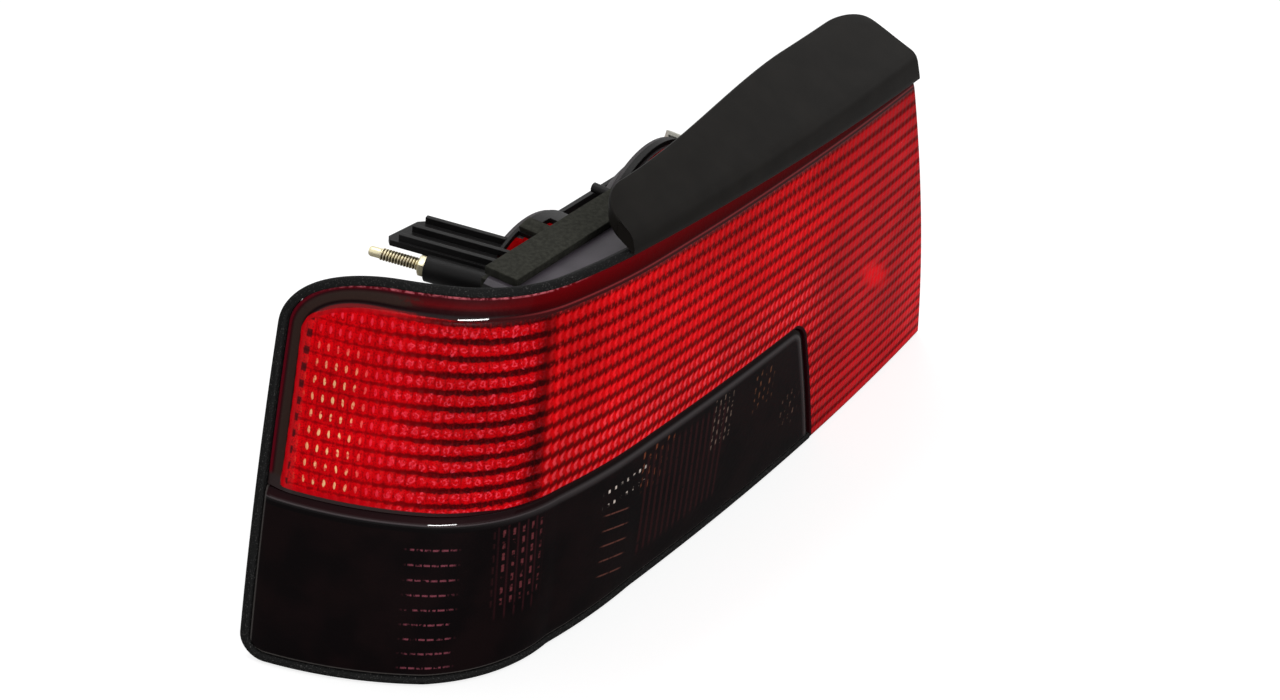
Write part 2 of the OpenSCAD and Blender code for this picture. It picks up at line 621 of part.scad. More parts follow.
// Dish profile: a parabola from the mouth to the bulb hole, as [radius, depth]
dish_steps = 9;
function dish_profile(r, grow) = [for (i = [0:dish_steps]) let (a = r, b = bulb_hole,
    x = a + (b - a) * i / dish_steps) [x + grow, dish_depth * (1 - (x * x - b * b) / (a * a - b * b))]];
module dish(m) {
    r = m[2] - wall - 2;
    translate([m[0], mouth_y, m[1]]) rotate([-90, 0, 0]) rotate_extrude()
        polygon(concat(dish_profile(r, 0), [for (i = [dish_steps:-1:0]) dish_profile(r, dish_wall)[i]]));
}
module unit_outline() {
    for (m = mouths) translate([m[0], m[1]]) circle(r = m[2] - 1);
    for (i = [0:2]) translate([mouths[i + 3][0], mouths[i + 3][1]])
        translate([-12, 0]) square([24, lower_mouth_drop - upper_mouth_drop]);
    translate([mouth_start, -upper_mouth_drop - 9]) square([2 * mouth_pitch, 18]);
    translate([lower_mouth_outer, -lower_mouth_drop - 9]) square([lower_mouth_inner - lower_mouth_outer, 18]);
}
module reflector_unit() color([0.62, 0.6, 0.62]) across_back() {
    difference() {
        union() {
            slab(mouth_y, mouth_y + unit_plate) unit_outline();
            for (m = mouths) rod(m[0], m[1], m[2] - wall - slack, mouth_y - 5, mouth_y + cut);
        }
        for (m = mouths) rod(m[0], m[1], m[2] - wall - 2, mouth_y - 5 - cut, mouth_y + unit_plate + cut);
        rotate([0, 0, body_sweep]) {
            rod(stud_x, stud_z, boss_radius + fit, -110, 10);
            translate([stud_x - 0.5 - fit, -90, -cut - finger_plate - fit])
                cube([finger_width + 2 * fit, 120, finger_plate + finger_rib + 2 * fit]);
        }
    }
    for (m = mouths) dish(m);
}

// Spring clips that hold the reflector unit's rim on the mouths: mouth and angle
clips = [[1, 150], [1, 62], [0, 200], [2, 60], [3, 250], [5, 290]];
module reflector_clips() color([0.86, 0.86, 0.84]) across_back() for (c = clips) {
    m = mouths[c[0]];
    half = 430 / m[2] / 2;
    sector(m, m[2] + slack, m[2] + 2, c[1] - half, c[1] + half, mouth_y - 12, mouth_y + unit_plate + 2);
    sector(m, m[2] - 3, m[2] + 2, c[1] - half, c[1] + half, mouth_y + unit_plate, mouth_y + unit_plate + 2);
}

// Ribbed optic plate across a chamber: upright flutes on its rear face
module fluted(x0, x1, z0, z1, y, pitch) {
    n = round((x1 - x0) / pitch);
    step = (x1 - x0) / n;
    translate([0, 0, z0]) linear_extrude(z1 - z0) polygon(concat([[x1, y + 2], [x0, y + 2], [x0, y]],
        [for (i = [0:n - 1]) each [[x0 + (i + 0.5) * step, y - 1], [x0 + (i + 1) * step, y]]]));
}
filter_y = back_y - 22;
optic_y = back_y - 32;
module indicator_filter() color([0.95, 0.5, 0.05]) across_back()
    fluted(body_start + fit, lower_split - half_wall - fit, chamber_foot + fit + 3, split_z - half_wall - fit - 3,
        filter_y, 5);
module reverse_optic() color([0.9, 0.92, 0.93]) across_back()
    fluted(lower_split + half_wall + fit, smoked_end_at(split_z) - half_wall - fit - 3, chamber_foot + fit + 3,
        split_z - half_wall - fit - 3, optic_y, 5);

// Bulb carrier: a plate behind the dishes with the connector's shroud
carrier_y = mouth_y + dish_depth + fit;
carrier_face = carrier_y + carrier_plate;
pin_count = 7;
pin_x = 235;
pin_z = -parting_drop + 4;
function pin_place(k) = pin_x + k * pin_pitch;
shroud_wall = 2;
shroud_x0 = pin_x - 6;
shroud_x1 = pin_place(pin_count - 1) + 6;
carrier_top = -upper_mouth_drop + socket_collar + track_width + 1.5;
carrier_foot = -lower_mouth_drop - socket_collar - track_width - 1.5;
carrier_start = mouth_start - 22;
carrier_end = lower_mouth_inner + 18;
module bulb_carrier() color([0.1, 0.1, 0.1]) across_back() difference() {
    union() {
        slab(carrier_y, carrier_face) rounded([[carrier_start, carrier_top], [mouths[2][0] + 18, carrier_top],
            [carrier_end, -upper_mouth_drop - 44], [carrier_end, carrier_foot], [carrier_start, carrier_foot]], 6);
        slab(carrier_face - cut, carrier_face + shroud_length) translate([shroud_x0, pin_z - shroud_height / 2])
            square([shroud_x1 - shroud_x0, shroud_height]);
    }
    for (m = mouths) rod(m[0], m[1], base_radius + sleeve_wall + 2 * slack, carrier_y - cut, carrier_face + cut);
    slab(carrier_face, carrier_face + shroud_length + cut)
        translate([shroud_x0 + shroud_wall, pin_z - shroud_height / 2 + shroud_wall])
        square([shroud_x1 - shroud_x0 - 2 * shroud_wall, shroud_height - 2 * shroud_wall]);
    slab(carrier_face, carrier_face + track_thickness + slack) for (k = [0:pin_count - 1])
        track_slot(k);
}
// Slot under the shroud's wall where a track reaches its pin
from_below = [0, 2, 4];
module track_slot(k) {
    w = track_width + 0.2;
    if (k == pin_count - 1) translate([pin_place(k), pin_z - w / 2]) square([20, w]);
    else translate([pin_place(k) - w / 2, len(search(k, from_below)) > 0 ? pin_z - shroud_height : pin_z])
        square([w, shroud_height]);
}

module bulb_sockets() color([0.8, 0.78, 0.72]) across_back() for (m = mouths) difference() {
    union() {
        rod(m[0], m[1], socket_collar, carrier_face, carrier_face + 1.3);
        rod(m[0], m[1], base_radius + sleeve_wall + slack, carrier_face - base_length, carrier_face + 1.3);
    }
    rod(m[0], m[1], base_radius + slack, carrier_face - base_length - cut, carrier_face);
}

// Bulb: base, neck and glass, seated on the socket's floor
module bulb(m, r) across_back() translate([m[0], carrier_face, m[1]]) rotate([90, 0, 0]) rotate_extrude()
    polygon(concat([[0, 0], [base_radius - 1, 0], [base_radius, 1], [base_radius, base_length + 3],
        [base_radius - 1.5, base_length + 5]],
        [for (a = [-50:14:76]) [r * cos(a), base_length + 5 + r * (sin(50) + sin(a))]],
        [[0, base_length + 5 + r * (1 + sin(50))]]));
module stop_tail_bulb() color([0.95, 0.95, 0.95]) bulb(mouths[0], bulb_radius);
module stop_bulb() color([0.95, 0.95, 0.95]) bulb(mouths[1], bulb_radius);
module tail_bulb() color([0.95, 0.95, 0.95]) bulb(mouths[2], small_bulb_radius);
module indicator_bulb() color([0.98, 0.6, 0.1]) bulb(mouths[3], bulb_radius);
module reverse_bulb() color([0.95, 0.95, 0.95]) bulb(mouths[4], bulb_radius);
module fog_bulb() color([0.95, 0.95, 0.95]) bulb(mouths[5], bulb_radius);

// Contact tracks: strips on the carrier's front face, each with its pin in the connector
module strip(path) for (i = [0:len(path) - 2]) {
    a = path[i];
    b = path[i + 1];
    w = track_width / 2;
    translate([min(a[0], b[0]) - w, min(a[1], b[1]) - w])
        square([abs(a[0] - b[0]) + 2 * w, abs(a[1] - b[1]) + 2 * w]);
}
module track(path, k) color([0.85, 0.68, 0.3]) across_back() {
    slab(carrier_face, carrier_face + track_thickness) strip(path);
    slab(carrier_face, carrier_face + pin_length) translate([pin_place(k) - 0.6, pin_z - 1.2])
        square([1.2, 2.4]);
}
half_track = track_width / 2;
upper_live = -upper_mouth_drop - socket_collar - half_track;
lower_live = -lower_mouth_drop + socket_collar + half_track;
upper_earth = -upper_mouth_drop + socket_collar + half_track;
lower_earth = -lower_mouth_drop - socket_collar - half_track;
earth_x = lower_mouth_inner + 13;
earth_corner = mouths[2][0] + 12;
module earth_track() track([[mouth_start, upper_earth], [earth_corner, upper_earth],
    [earth_corner, -upper_mouth_drop - 32], [earth_x, -upper_mouth_drop - 32], [earth_x, pin_z],
    [pin_place(6), pin_z], [earth_x, pin_z], [earth_x, lower_earth], [lower_mouth_outer, lower_earth]], 6);
module stop_tail_track() track([[mouths[0][0], upper_live], [mouths[0][0], -parting_drop + 22],
    [pin_place(1), -parting_drop + 22], [pin_place(1), pin_z]], 1);
module stop_track() track([[mouths[1][0], upper_live], [mouths[1][0], -parting_drop + 30],
    [pin_place(3), -parting_drop + 30], [pin_place(3), pin_z]], 3);
module tail_track() track([[mouths[2][0], upper_live], [mouths[2][0], -parting_drop + 22],
    [pin_place(5), -parting_drop + 22], [pin_place(5), pin_z]], 5);
module indicator_track() track([[mouths[3][0], lower_live], [mouths[3][0], -parting_drop - 14],
    [pin_place(0), -parting_drop - 14], [pin_place(0), pin_z]], 0);
module reverse_track() track([[mouths[4][0], lower_live], [mouths[4][0], -parting_drop - 21],
    [pin_place(2), -parting_drop - 21], [pin_place(2), pin_z]], 2);
module fog_track() track([[mouths[5][0], lower_live], [mouths[5][0], -parting_drop - 14],
    [pin_place(4), -parting_drop - 14], [pin_place(4), pin_z]], 4);

red_lens();
smoked_lens();
rim_seal();
housing();
side_reflector();
foam_seal();
upper_trim();
trim_clips();
mounting_studs();
reflector_unit();
reflector_clips();
indicator_filter();
reverse_optic();
bulb_carrier();
bulb_sockets();
stop_tail_bulb();
stop_bulb();
tail_bulb();
indicator_bulb();
reverse_bulb();
fog_bulb();
earth_track();
stop_tail_track();
stop_track();
tail_track();
indicator_track();
reverse_track();
fog_track();
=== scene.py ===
"""Lens shapes are worked out on the lens face: s runs along the face's curve in plan, z is the
height over the first row of prisms and depth goes square into the lamp, all in millimetres.
Meshes are in metres in the row's frame, whose origin is the seat of the outer stud.
"""

from __future__ import annotations

import json
import logging
import math
from dataclasses import dataclass, field
from enum import Enum
from typing import Optional, Union

import bmesh
import bpy
import numpy as np
from mathutils import Matrix, Vector

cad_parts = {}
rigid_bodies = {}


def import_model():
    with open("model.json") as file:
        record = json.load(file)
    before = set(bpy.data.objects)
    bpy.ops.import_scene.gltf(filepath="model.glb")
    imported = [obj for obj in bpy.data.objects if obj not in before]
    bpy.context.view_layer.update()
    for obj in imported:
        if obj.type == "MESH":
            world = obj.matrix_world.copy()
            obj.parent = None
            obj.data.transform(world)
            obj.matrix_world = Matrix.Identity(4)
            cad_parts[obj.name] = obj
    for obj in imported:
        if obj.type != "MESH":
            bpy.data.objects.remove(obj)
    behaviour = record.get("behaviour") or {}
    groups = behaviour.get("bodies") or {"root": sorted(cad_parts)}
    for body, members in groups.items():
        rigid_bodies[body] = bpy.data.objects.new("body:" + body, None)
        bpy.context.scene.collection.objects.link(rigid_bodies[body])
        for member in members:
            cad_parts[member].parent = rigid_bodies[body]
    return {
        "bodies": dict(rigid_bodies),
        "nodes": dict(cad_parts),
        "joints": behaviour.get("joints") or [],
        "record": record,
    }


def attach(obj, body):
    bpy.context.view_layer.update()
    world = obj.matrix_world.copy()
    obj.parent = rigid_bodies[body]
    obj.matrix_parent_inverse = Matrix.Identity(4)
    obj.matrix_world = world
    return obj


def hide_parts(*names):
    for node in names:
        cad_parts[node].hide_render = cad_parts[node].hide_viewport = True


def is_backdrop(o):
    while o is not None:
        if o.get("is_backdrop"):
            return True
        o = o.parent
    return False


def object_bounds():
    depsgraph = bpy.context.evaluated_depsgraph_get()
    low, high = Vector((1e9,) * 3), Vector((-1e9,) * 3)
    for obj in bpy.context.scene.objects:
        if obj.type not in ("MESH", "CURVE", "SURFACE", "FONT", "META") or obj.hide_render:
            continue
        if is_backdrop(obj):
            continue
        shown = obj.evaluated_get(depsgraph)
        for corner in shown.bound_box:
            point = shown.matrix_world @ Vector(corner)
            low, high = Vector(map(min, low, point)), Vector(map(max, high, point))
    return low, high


LOG = logging.getLogger("lamp")
MM = 0.001
STUD_SEAT = np.array([72.0, -25.0, -10.0])
Number = Union[float, np.ndarray]
Colour = tuple[float, float, float, float]
Socket = bpy.types.NodeSocket
Value = Union[bpy.types.NodeSocket, float, Colour]
WHITE: Colour = (1.0, 1.0, 1.0, 1.0)


def to_row(x: Number, y: Number, z: Number) -> np.ndarray:
    """Places in millimetres as metres in the row's frame.

    Args:
        x, y, z: places from the start of the side curve, in millimetres.

    Returns:
        Array with one more axis, of three coordinates.
    """
    points = np.stack(np.broadcast_arrays(x, y, z), axis=-1)
    return (points - STUD_SEAT) * MM


def smoothstep(value: Number, low: float, high: float) -> Number:
    """Zero below low, one above high and a smooth ramp between."""
    t = np.clip((np.asarray(value, dtype=float) - low) / (high - low), 0.0, 1.0)
    return t * t * (3.0 - 2.0 * t)


@dataclass(frozen=True)
class LensFace:
    """The outer face of both lenses: four arcs in plan, leaning and slightly barrelled.

    Attributes:
        heading: direction of the side curve's start, in degrees.
        radii: radius of each arc.
        turns: turn of each arc but the last, in degrees.
        side_lean, rear_lean: lean of the face at the side and at the rear, in degrees.
        barrel: radius of the face in height.
        top, foot: reach of the rim over and under the first row of prisms.
        start: how far the rim lies before the curve's start.
        length: s of the inner end at the top.
        slant: slant of the inner end, in degrees.
        corner: half axes of the upper outer corner's ellipse, along s and z.
        foot_corner: radius of the lower outer corner.
    """

    heading: float = -93.0
    radii: tuple[float, ...] = (170.0, 75.0, 360.0, 2400.0)
    turns: tuple[float, ...] = (23.0, 44.0, 10.0)
    side_lean: float = 12.3
    rear_lean: float = 4.0
    barrel: float = 1600.0
    top: float = 21.0
    foot: float = 184.0
    start: float = 11.0
    length: float = 434.0
    slant: float = 20.5
    corner: tuple[float, float] = (56.0, 33.0)
    foot_corner: float = 12.0

    def plan(self, s: Number) -> tuple[np.ndarray, np.ndarray, np.ndarray]:
        """Place and direction of the curve in plan.

        Each arc adds radius x (sin of its end direction - sin of its start direction) to x,
        and takes the same with cosines from y.

        Args:
            s: length along the curve, in millimetres.

        Returns:
            x, y and the direction in radians.
        """
        s = np.asarray(s, dtype=float)
        x, y = np.zeros_like(s), np.zeros_like(s)
        start, angle = 0.0, math.radians(self.heading)
        lengths = [r * math.radians(t) for r, t in zip(self.radii, self.turns)] + [np.inf]
        for i, (radius, length) in enumerate(zip(self.radii, lengths)):
            low = -np.inf if i == 0 else 0.0
            turn = np.clip(s - start, low, length) / radius
            x = x + radius * (np.sin(angle + turn) - math.sin(angle))
            y = y - radius * (np.cos(angle + turn) - math.cos(angle))
            heading = angle + turn if i == 0 else heading + turn
            if np.isfinite(length):
                start, angle = start + length, angle + length / radius
        return x, y, heading

    def point(self, s: Number, z: Number, depth: Number) -> np.ndarray:
        """Points of the face, moved square into the lamp by depth, in metres.

        The way out from the curve is -z tan(lean) - z squared / (2 barrel) - depth, and the lean
        goes from the side's to the rear's with the curve's direction.

        Args:
            s, z: length along the curve and height, in millimetres.
            depth: way into the lamp.

        Returns:
            Points in the row's frame.
        """
        x, y, heading = self.plan(s)
        blend = np.clip((np.degrees(heading) - self.heading) / sum(self.turns), 0.0, 1.0)
        lean = np.radians(self.side_lean + (self.rear_lean - self.side_lean) * blend)
        out = -np.asarray(z) * np.tan(lean) - np.asarray(z) ** 2 / (2 * self.barrel) - depth
        return to_row(x + np.sin(heading) * out, y - np.cos(heading) * out, z)

    @property
    def corner_centre(self) -> tuple[float, float]:
        """Centre of the upper outer corner's ellipse, as s and z."""
        return self.corner[0] - self.start, self.top - self.corner[1]

    def top_edge(self, s: Number, inset: float) -> np.ndarray:
        """Height of the rim's top edge, moved inwards by inset.

        In the outer corner it follows an ellipse, b sqrt(1 - u squared) over its centre.

        Args:
            s: length along the curve.
            inset: way inwards from the rim's outline.

        Returns:
            The height.
        """
        cs, cz = self.corner_centre
        u = np.clip((cs - np.asarray(s, dtype=float)) / (self.corner[0] - inset), 0.0, 1.0)
        return cz + (self.corner[1] - inset) * np.sqrt(1.0 - u * u)

    def foot_edge(self, s: Number, inset: float) -> np.ndarray:
        """Height of the rim's lower edge, moved inwards by inset.

        In the outer corner it follows a circle, r - sqrt(r squared - u squared).

        Args:
            s: length along the curve.
            inset: way inwards from the rim's outline.

        Returns:
            The height.
        """
        r = max(1.0, self.foot_corner - inset)
        u = np.clip(inset - self.start + r - np.asarray(s, dtype=float), 0.0, r)
        return -self.foot + inset + r - np.sqrt(r * r - u * u)

    def inner_end(self, z: Number, inset: float) -> np.ndarray:
        """Length along the curve of the slanted inner end, moved inwards by inset."""
        angle = math.radians(self.slant)
        return self.length + (self.top - np.asarray(z)) * math.tan(angle) - inset / math.cos(angle)

    def margin(self, s: Number, z: Number) -> np.ndarray:
        """Distance of points of the face inside the rim's side and top edges, in millimetres.

        In the upper outer corner it is the way out to the ellipse along the ray from its
        centre; elsewhere it is the lesser distance to the two edges.

        Args:
            s, z: length along the curve and height.

        Returns:
            The distances.
        """
        s, z = np.broadcast_arrays(np.asarray(s, dtype=float), np.asarray(z, dtype=float))
        cs, cz = self.corner_centre
        u, v = np.maximum(cs - s, 0.0), np.maximum(z - cz, 0.0)
        q = np.sqrt((u / self.corner[0]) ** 2 + (v / self.corner[1]) ** 2)
        radial = np.hypot(u, v) * (1.0 / np.maximum(q, 1e-6) - 1.0)
        straight = np.minimum(s + self.start, self.top - z)
        return np.where((u > 0) & (v > 0), np.minimum(radial, 60.0), straight)

    def end_gap(self, s: Number, z: Number) -> np.ndarray:
        """Distance of points of the face inside the slanted inner end."""
        return (self.inner_end(z, 0.0) - s) * math.cos(math.radians(self.slant))


@dataclass(frozen=True)
class Parting:
    """The line between the lenses: level, then round a corner and down a slant.

    Attributes:
        face: the lens face.
        level: height of the level part.
        end: s where the slanted part would meet the level one.
        corner: radius between them.
        gap: half the gap between the lenses.
    """

    face: LensFace = LensFace()
    level: float = -92.0
    end: float = 333.0
    corner: float = 11.0
    gap: float = 0.15

    def line(self, z: Number) -> np.ndarray:
        """Length along the curve of the slanted part, rounded at its top.

        Under the level part by u, it is end + u tan(slant), less the rounding
        r - sqrt(r squared - (r - u) squared) within r.

        Args:
            z: heights.

        Returns:
            The lengths.
        """
        u = np.maximum(0.0, self.level - np.asarray(z))
        w = np.clip(self.corner - u, 0.0, self.corner)
        bend = self.corner - np.sqrt(self.corner ** 2 - w * w)
        return self.end + u * math.tan(math.radians(self.face.slant)) - bend

    def inside(self, s: Number, z: Number) -> np.ndarray:
        """Distance on the smoked lens's side of the line, up to the corner's radius.

        With a and b the ways to the slanted and the level part, it is
        r - sqrt(max(r - a, 0)^2 + max(r - b, 0)^2).

        Args:
            s, z: length along the curve and height.

        Returns:
            The distances.
        """
        b = self.level - np.asarray(z)
        a = self.end + b * math.tan(math.radians(self.face.slant)) - s
        r = self.corner
        return r - np.hypot(np.maximum(r - a, 0.0), np.maximum(r - b, 0.0))


def new_mesh(name: str, points: np.ndarray, faces: np.ndarray,
             smooth: bool = True) -> bpy.types.Object:
    """Object from arrays of vertices and quads or triangles.

    Args:
        name: the piece's name.
        points: vertices in metres, any shape that ends in 3.
        faces: whole numbers, one row of three or four for each face.
        smooth: whether faces are shaded smooth.

    Returns:
        The object, linked into the scene.
    """
    points = np.ascontiguousarray(points, dtype=np.float32).reshape(-1, 3)
    faces = np.ascontiguousarray(faces, dtype=np.int32)
    sides = faces.shape[1]
    mesh = bpy.data.meshes.new(name)
    mesh.vertices.add(len(points))
    mesh.vertices.foreach_set("co", points.ravel())
    mesh.loops.add(faces.size)
    mesh.loops.foreach_set("vertex_index", faces.ravel())
    mesh.polygons.add(len(faces))
    mesh.polygons.foreach_set("loop_start", np.arange(0, faces.size, sides, dtype=np.int32))
    mesh.polygons.foreach_set("use_smooth", np.full(len(faces), smooth))
    mesh.update(calc_edges=True)
    mesh.validate()
    obj = bpy.data.objects.new(name, mesh)
    bpy.context.scene.collection.objects.link(obj)
    return obj


def set_uv(obj: bpy.types.Object, flat: np.ndarray, name: str = "face") -> None:
    """Gives each vertex's pair of numbers to the piece as its UV map.

    Args:
        obj: the piece.
        flat: pairs of numbers, one for each vertex.
        name: the map's name.
    """
    mesh = obj.data
    index = np.zeros(len(mesh.loops), dtype=np.int32)
    mesh.loops.foreach_get("vertex_index", index)
    layer = mesh.uv_layers.new(name=name)
    layer.data.foreach_set("uv", np.asarray(flat, dtype=np.float32).reshape(-1, 2)[index].ravel())


def set_attribute(obj: bpy.types.Object, name: str, values: np.ndarray) -> None:
    """Gives each vertex one number under a name that materials read."""
    layer = obj.data.attributes.new(name, "FLOAT", "POINT")
    layer.data.foreach_set("value", np.asarray(values, dtype=np.float32).ravel())


def quads(rows: int, cols: int, close_rows: bool = False, close_cols: bool = False) -> np.ndarray:
    """Quads of a grid of rows x cols points, joined back to the start where closed.

    Args:
        rows, cols: how many points.
        close_rows, close_cols: whether that way is closed.

    Returns:
        Four point numbers for each quad.
    """
    i = np.arange(rows if close_rows else rows - 1)
    j = np.arange(cols if close_cols else cols - 1)
    a, b = np.meshgrid(i, j, indexing="ij")
    a2, b2 = (a + 1) % rows, (b + 1) % cols
    return np.stack([a * cols + b, a2 * cols + b, a2 * cols + b2, a * cols + b2], axis=-1).reshape(-1, 4)


def sharpen(obj: bpy.types.Object, degrees: float = 35.0) -> None:
    """Smooth shading that stays sharp at edges over an angle."""
    obj.data.set_sharp_from_angle(angle=math.radians(degrees))


class Nodes:
    """A node tree, written as arithmetic on sockets."""

    def __init__(self, tree: bpy.types.NodeTree) -> None:
        """Keeps the tree's nodes and links."""
        self.nodes, self.links = tree.nodes, tree.links

    def node(self, kind: str, **settings: object) -> bpy.types.Node:
        """A new node with its properties set.

        Args:
            kind: the node's type.
            settings: its properties, by name.

        Returns:
            The node.
        """
        made = self.nodes.new(kind)
        for key, value in settings.items():
            setattr(made, key, value)
        return made

    def feed(self, socket: Socket, value: Value) -> None:
        """Links a socket or writes a value into it.

        Args:
            socket: the input.
            value: another socket, a number or a colour.
        """
        if isinstance(value, bpy.types.NodeSocket):
            self.links.new(value, socket)
        else:
            socket.default_value = value

    def math(self, operation: str, *values: Value) -> Socket:
        """One arithmetic step.

        Args:
            operation: its name in a Math node.
            values: sockets or numbers, in the node's order.

        Returns:
            The result.
        """
        made = self.node("ShaderNodeMath", operation=operation)
        for socket, value in zip(made.inputs, values):
            self.feed(socket, value)
        return made.outputs[0]

    def plus(self, first: Value, second: Value) -> Socket:
        """Sum of two sockets or numbers."""
        return self.math("ADD", first, second)

    def minus(self, first: Value, second: Value) -> Socket:
        """First less second."""
        return self.math("SUBTRACT", first, second)

    def times(self, *values: Value) -> Socket:
        """Product of sockets or numbers.

        Args:
            values: the factors.

        Returns:
            The product.
        """
        product = values[0]
        for value in values[1:]:
            product = self.math("MULTIPLY", product, value)
        return product

    def square(self, value: Value, stretch: float) -> Socket:
        """Square of a value times a stretch."""
        return self.math("POWER", self.times(value, stretch), 2.0)

    def size(self, value: Value) -> Socket:
        """A value without its sign."""
        return self.math("ABSOLUTE", value)

    def apart(self, value: Value, other: Value) -> Socket:
        """Distance between two values."""
        return self.size(self.minus(value, other))

    def ramp(self, value: Value, low: float, high: float, out_low: float = 0.0, out_high: float = 1.0,
             smooth: bool = True) -> Socket:
        """Value carried from one range to another, held at both ends.

        Args:
            value: what is carried.
            low, high: the range it comes from.
            out_low, out_high: the range it goes to.
            smooth: whether it eases in and out.

        Returns:
            The carried value.
        """
        made = self.node("ShaderNodeMapRange", interpolation_type="SMOOTHSTEP" if smooth else "LINEAR")
        for socket, item in zip(made.inputs, (value, low, high, out_low, out_high)):
            self.feed(socket, item)
        return made.outputs[0]

    def window(self, value: Value, low: float, high: float, soft: float) -> Socket:
        """One between low and high, and zero outside, over a soft edge."""
        return self.times(self.ramp(value, low - soft / 2, low + soft / 2),
                          self.ramp(value, high + soft / 2, high - soft / 2))

    def cell(self, value: Value, pitch: float, origin: float) -> Socket:
        """Place within a repeating cell, from -0.5 to 0.5, with 0 at the origin and every pitch from it."""
        turns = self.plus(self.math("DIVIDE", value, pitch), 100.5 - origin / pitch)
        return self.minus(self.math("FRACT", turns), 0.5)

    def mix(self, factor: Value, first: Value, second: Value) -> Socket:
        """Blend of two colours.

        Args:
            factor: share of the second.
            first, second: the colours.

        Returns:
            The blend.
        """
        made = self.node("ShaderNodeMix", data_type="RGBA")
        for place, value in ((0, factor), (6, first), (7, second)):
            self.feed(made.inputs[place], value)
        return made.outputs[2]

    def bands(self, value: Value, *stops: tuple[float, Colour]) -> Socket:
        """Colour that changes with a value.

        Args:
            value: what decides the colour.
            stops: colours at rising values.

        Returns:
            The colour.
        """
        low, high = stops[0][0], stops[-1][0]
        made = self.node("ShaderNodeValToRGB")
        self.feed(made.inputs[0], self.ramp(value, low, high, smooth=False))
        ramp = made.color_ramp
        first, middle = ramp.elements[0], [ramp.elements.new(0.5) for _ in stops[1:-1]]
        for item, (at, colour) in zip([first] + middle, stops):
            item.position, item.color = (at - low) / (high - low), colour
        ramp.elements[-1].position, ramp.elements[-1].color = 1.0, stops[-1][1]
        return made.outputs[0]

    def split(self, vector: Socket) -> bpy.types.NodeOutputs:
        """The three parts of a vector.

        Args:
            vector: the vector.

        Returns:
            Its parts.
        """
        made = self.node("ShaderNodeSeparateXYZ")
        self.links.new(vector, made.inputs[0])
        return made.outputs


class Graph(Nodes):
    """A material's nodes, which end at one Principled shader."""

    def __init__(self, name: str) -> None:
        """Makes the material.

        Args:
            name: the material's name.
        """
        self.material = bpy.data.materials.new(name)
        self.material.use_nodes = True
        super().__init__(self.material.node_tree)
        self.shader = self.nodes["Principled BSDF"]

    def face_place(self) -> tuple[Socket, Socket]:
        """The piece's own s and z, in millimetres, from its UV map.

        Returns:
            s and z.
        """
        across, up, _ = self.split(self.node("ShaderNodeUVMap", uv_map="face").outputs[0])
        return self.times(across, 1 / MM), self.times(up, 1 / MM)

    def attribute(self, name: str) -> Socket:
        """A number that each vertex holds."""
        return self.node("ShaderNodeAttribute", attribute_name=name).outputs["Fac"]

    def here(self) -> Socket:
        """The place on the piece, in Object coordinates."""
        return self.node("ShaderNodeTexCoord").outputs["Object"]

    def noise(self, scale: float, detail: float = 2.0) -> Socket:
        """Smooth random value between 0 and 1.

        Args:
            scale: cycles for each metre.
            detail: how many finer sizes are added.

        Returns:
            The value.
        """
        made = self.node("ShaderNodeTexNoise")
        for name, value in (("Vector", self.here()), ("Scale", scale), ("Detail", detail)):
            self.feed(made.inputs[name], value)
        return made.outputs[0]

    def bump(self, height: Value, distance: float, strength: float = 1.0,
             normal: Optional[Socket] = None) -> Socket:
        """Normal tilted by a height.

        Args:
            height: the height, from 0 to 1.
            distance: metres that a height of 1 stands for.
            strength: share of the tilt that shows.
            normal: the normal that is tilted, or the surface's own.

        Returns:
            The normal.
        """
        made = self.node("ShaderNodeBump")
        for name, value in (("Strength", strength), ("Distance", distance), ("Height", height)):
            self.feed(made.inputs[name], value)
        if normal is not None:
            self.feed(made.inputs["Normal"], normal)
        return made.outputs[0]

    def rounded(self, radius: float) -> Socket:
        """Normal that softens the edges of a moulded piece.

        Args:
            radius: radius of the softened edges, in metres.

        Returns:
            The normal.
        """
        made = self.node("ShaderNodeBevel", samples=4)
        made.inputs["Radius"].default_value = radius
        return made.outputs[0]

    def finish(self, **inputs: Value) -> bpy.types.Material:
        """Sets the shader's sockets.

        Args:
            inputs: sockets, numbers or colours by the input's name.

        Returns:
            The material.
        """
        for key, value in inputs.items():
            self.feed(self.shader.inputs[key.replace("_", " ")], value)
        return self.material


def srgb(red: int, green: int, blue: int) -> Colour:
    """Display colour as the linear numbers that a shader takes.

    Args:
        red, green, blue: parts from 0 to 255.

    Returns:
        Four numbers, of which the last is 1.
    """
    values = [c / 255.0 for c in (red, green, blue)]
    linear = [c / 12.92 if c <= 0.04045 else ((c + 0.055) / 1.055) ** 2.4 for c in values]
    return linear[0], linear[1], linear[2], 1.0


def scaled(colour: Colour, share: float) -> Colour:
    """Colour times a share, held at 1."""
    return tuple(min(1.0, part * share) for part in colour[:3]) + (1.0,)


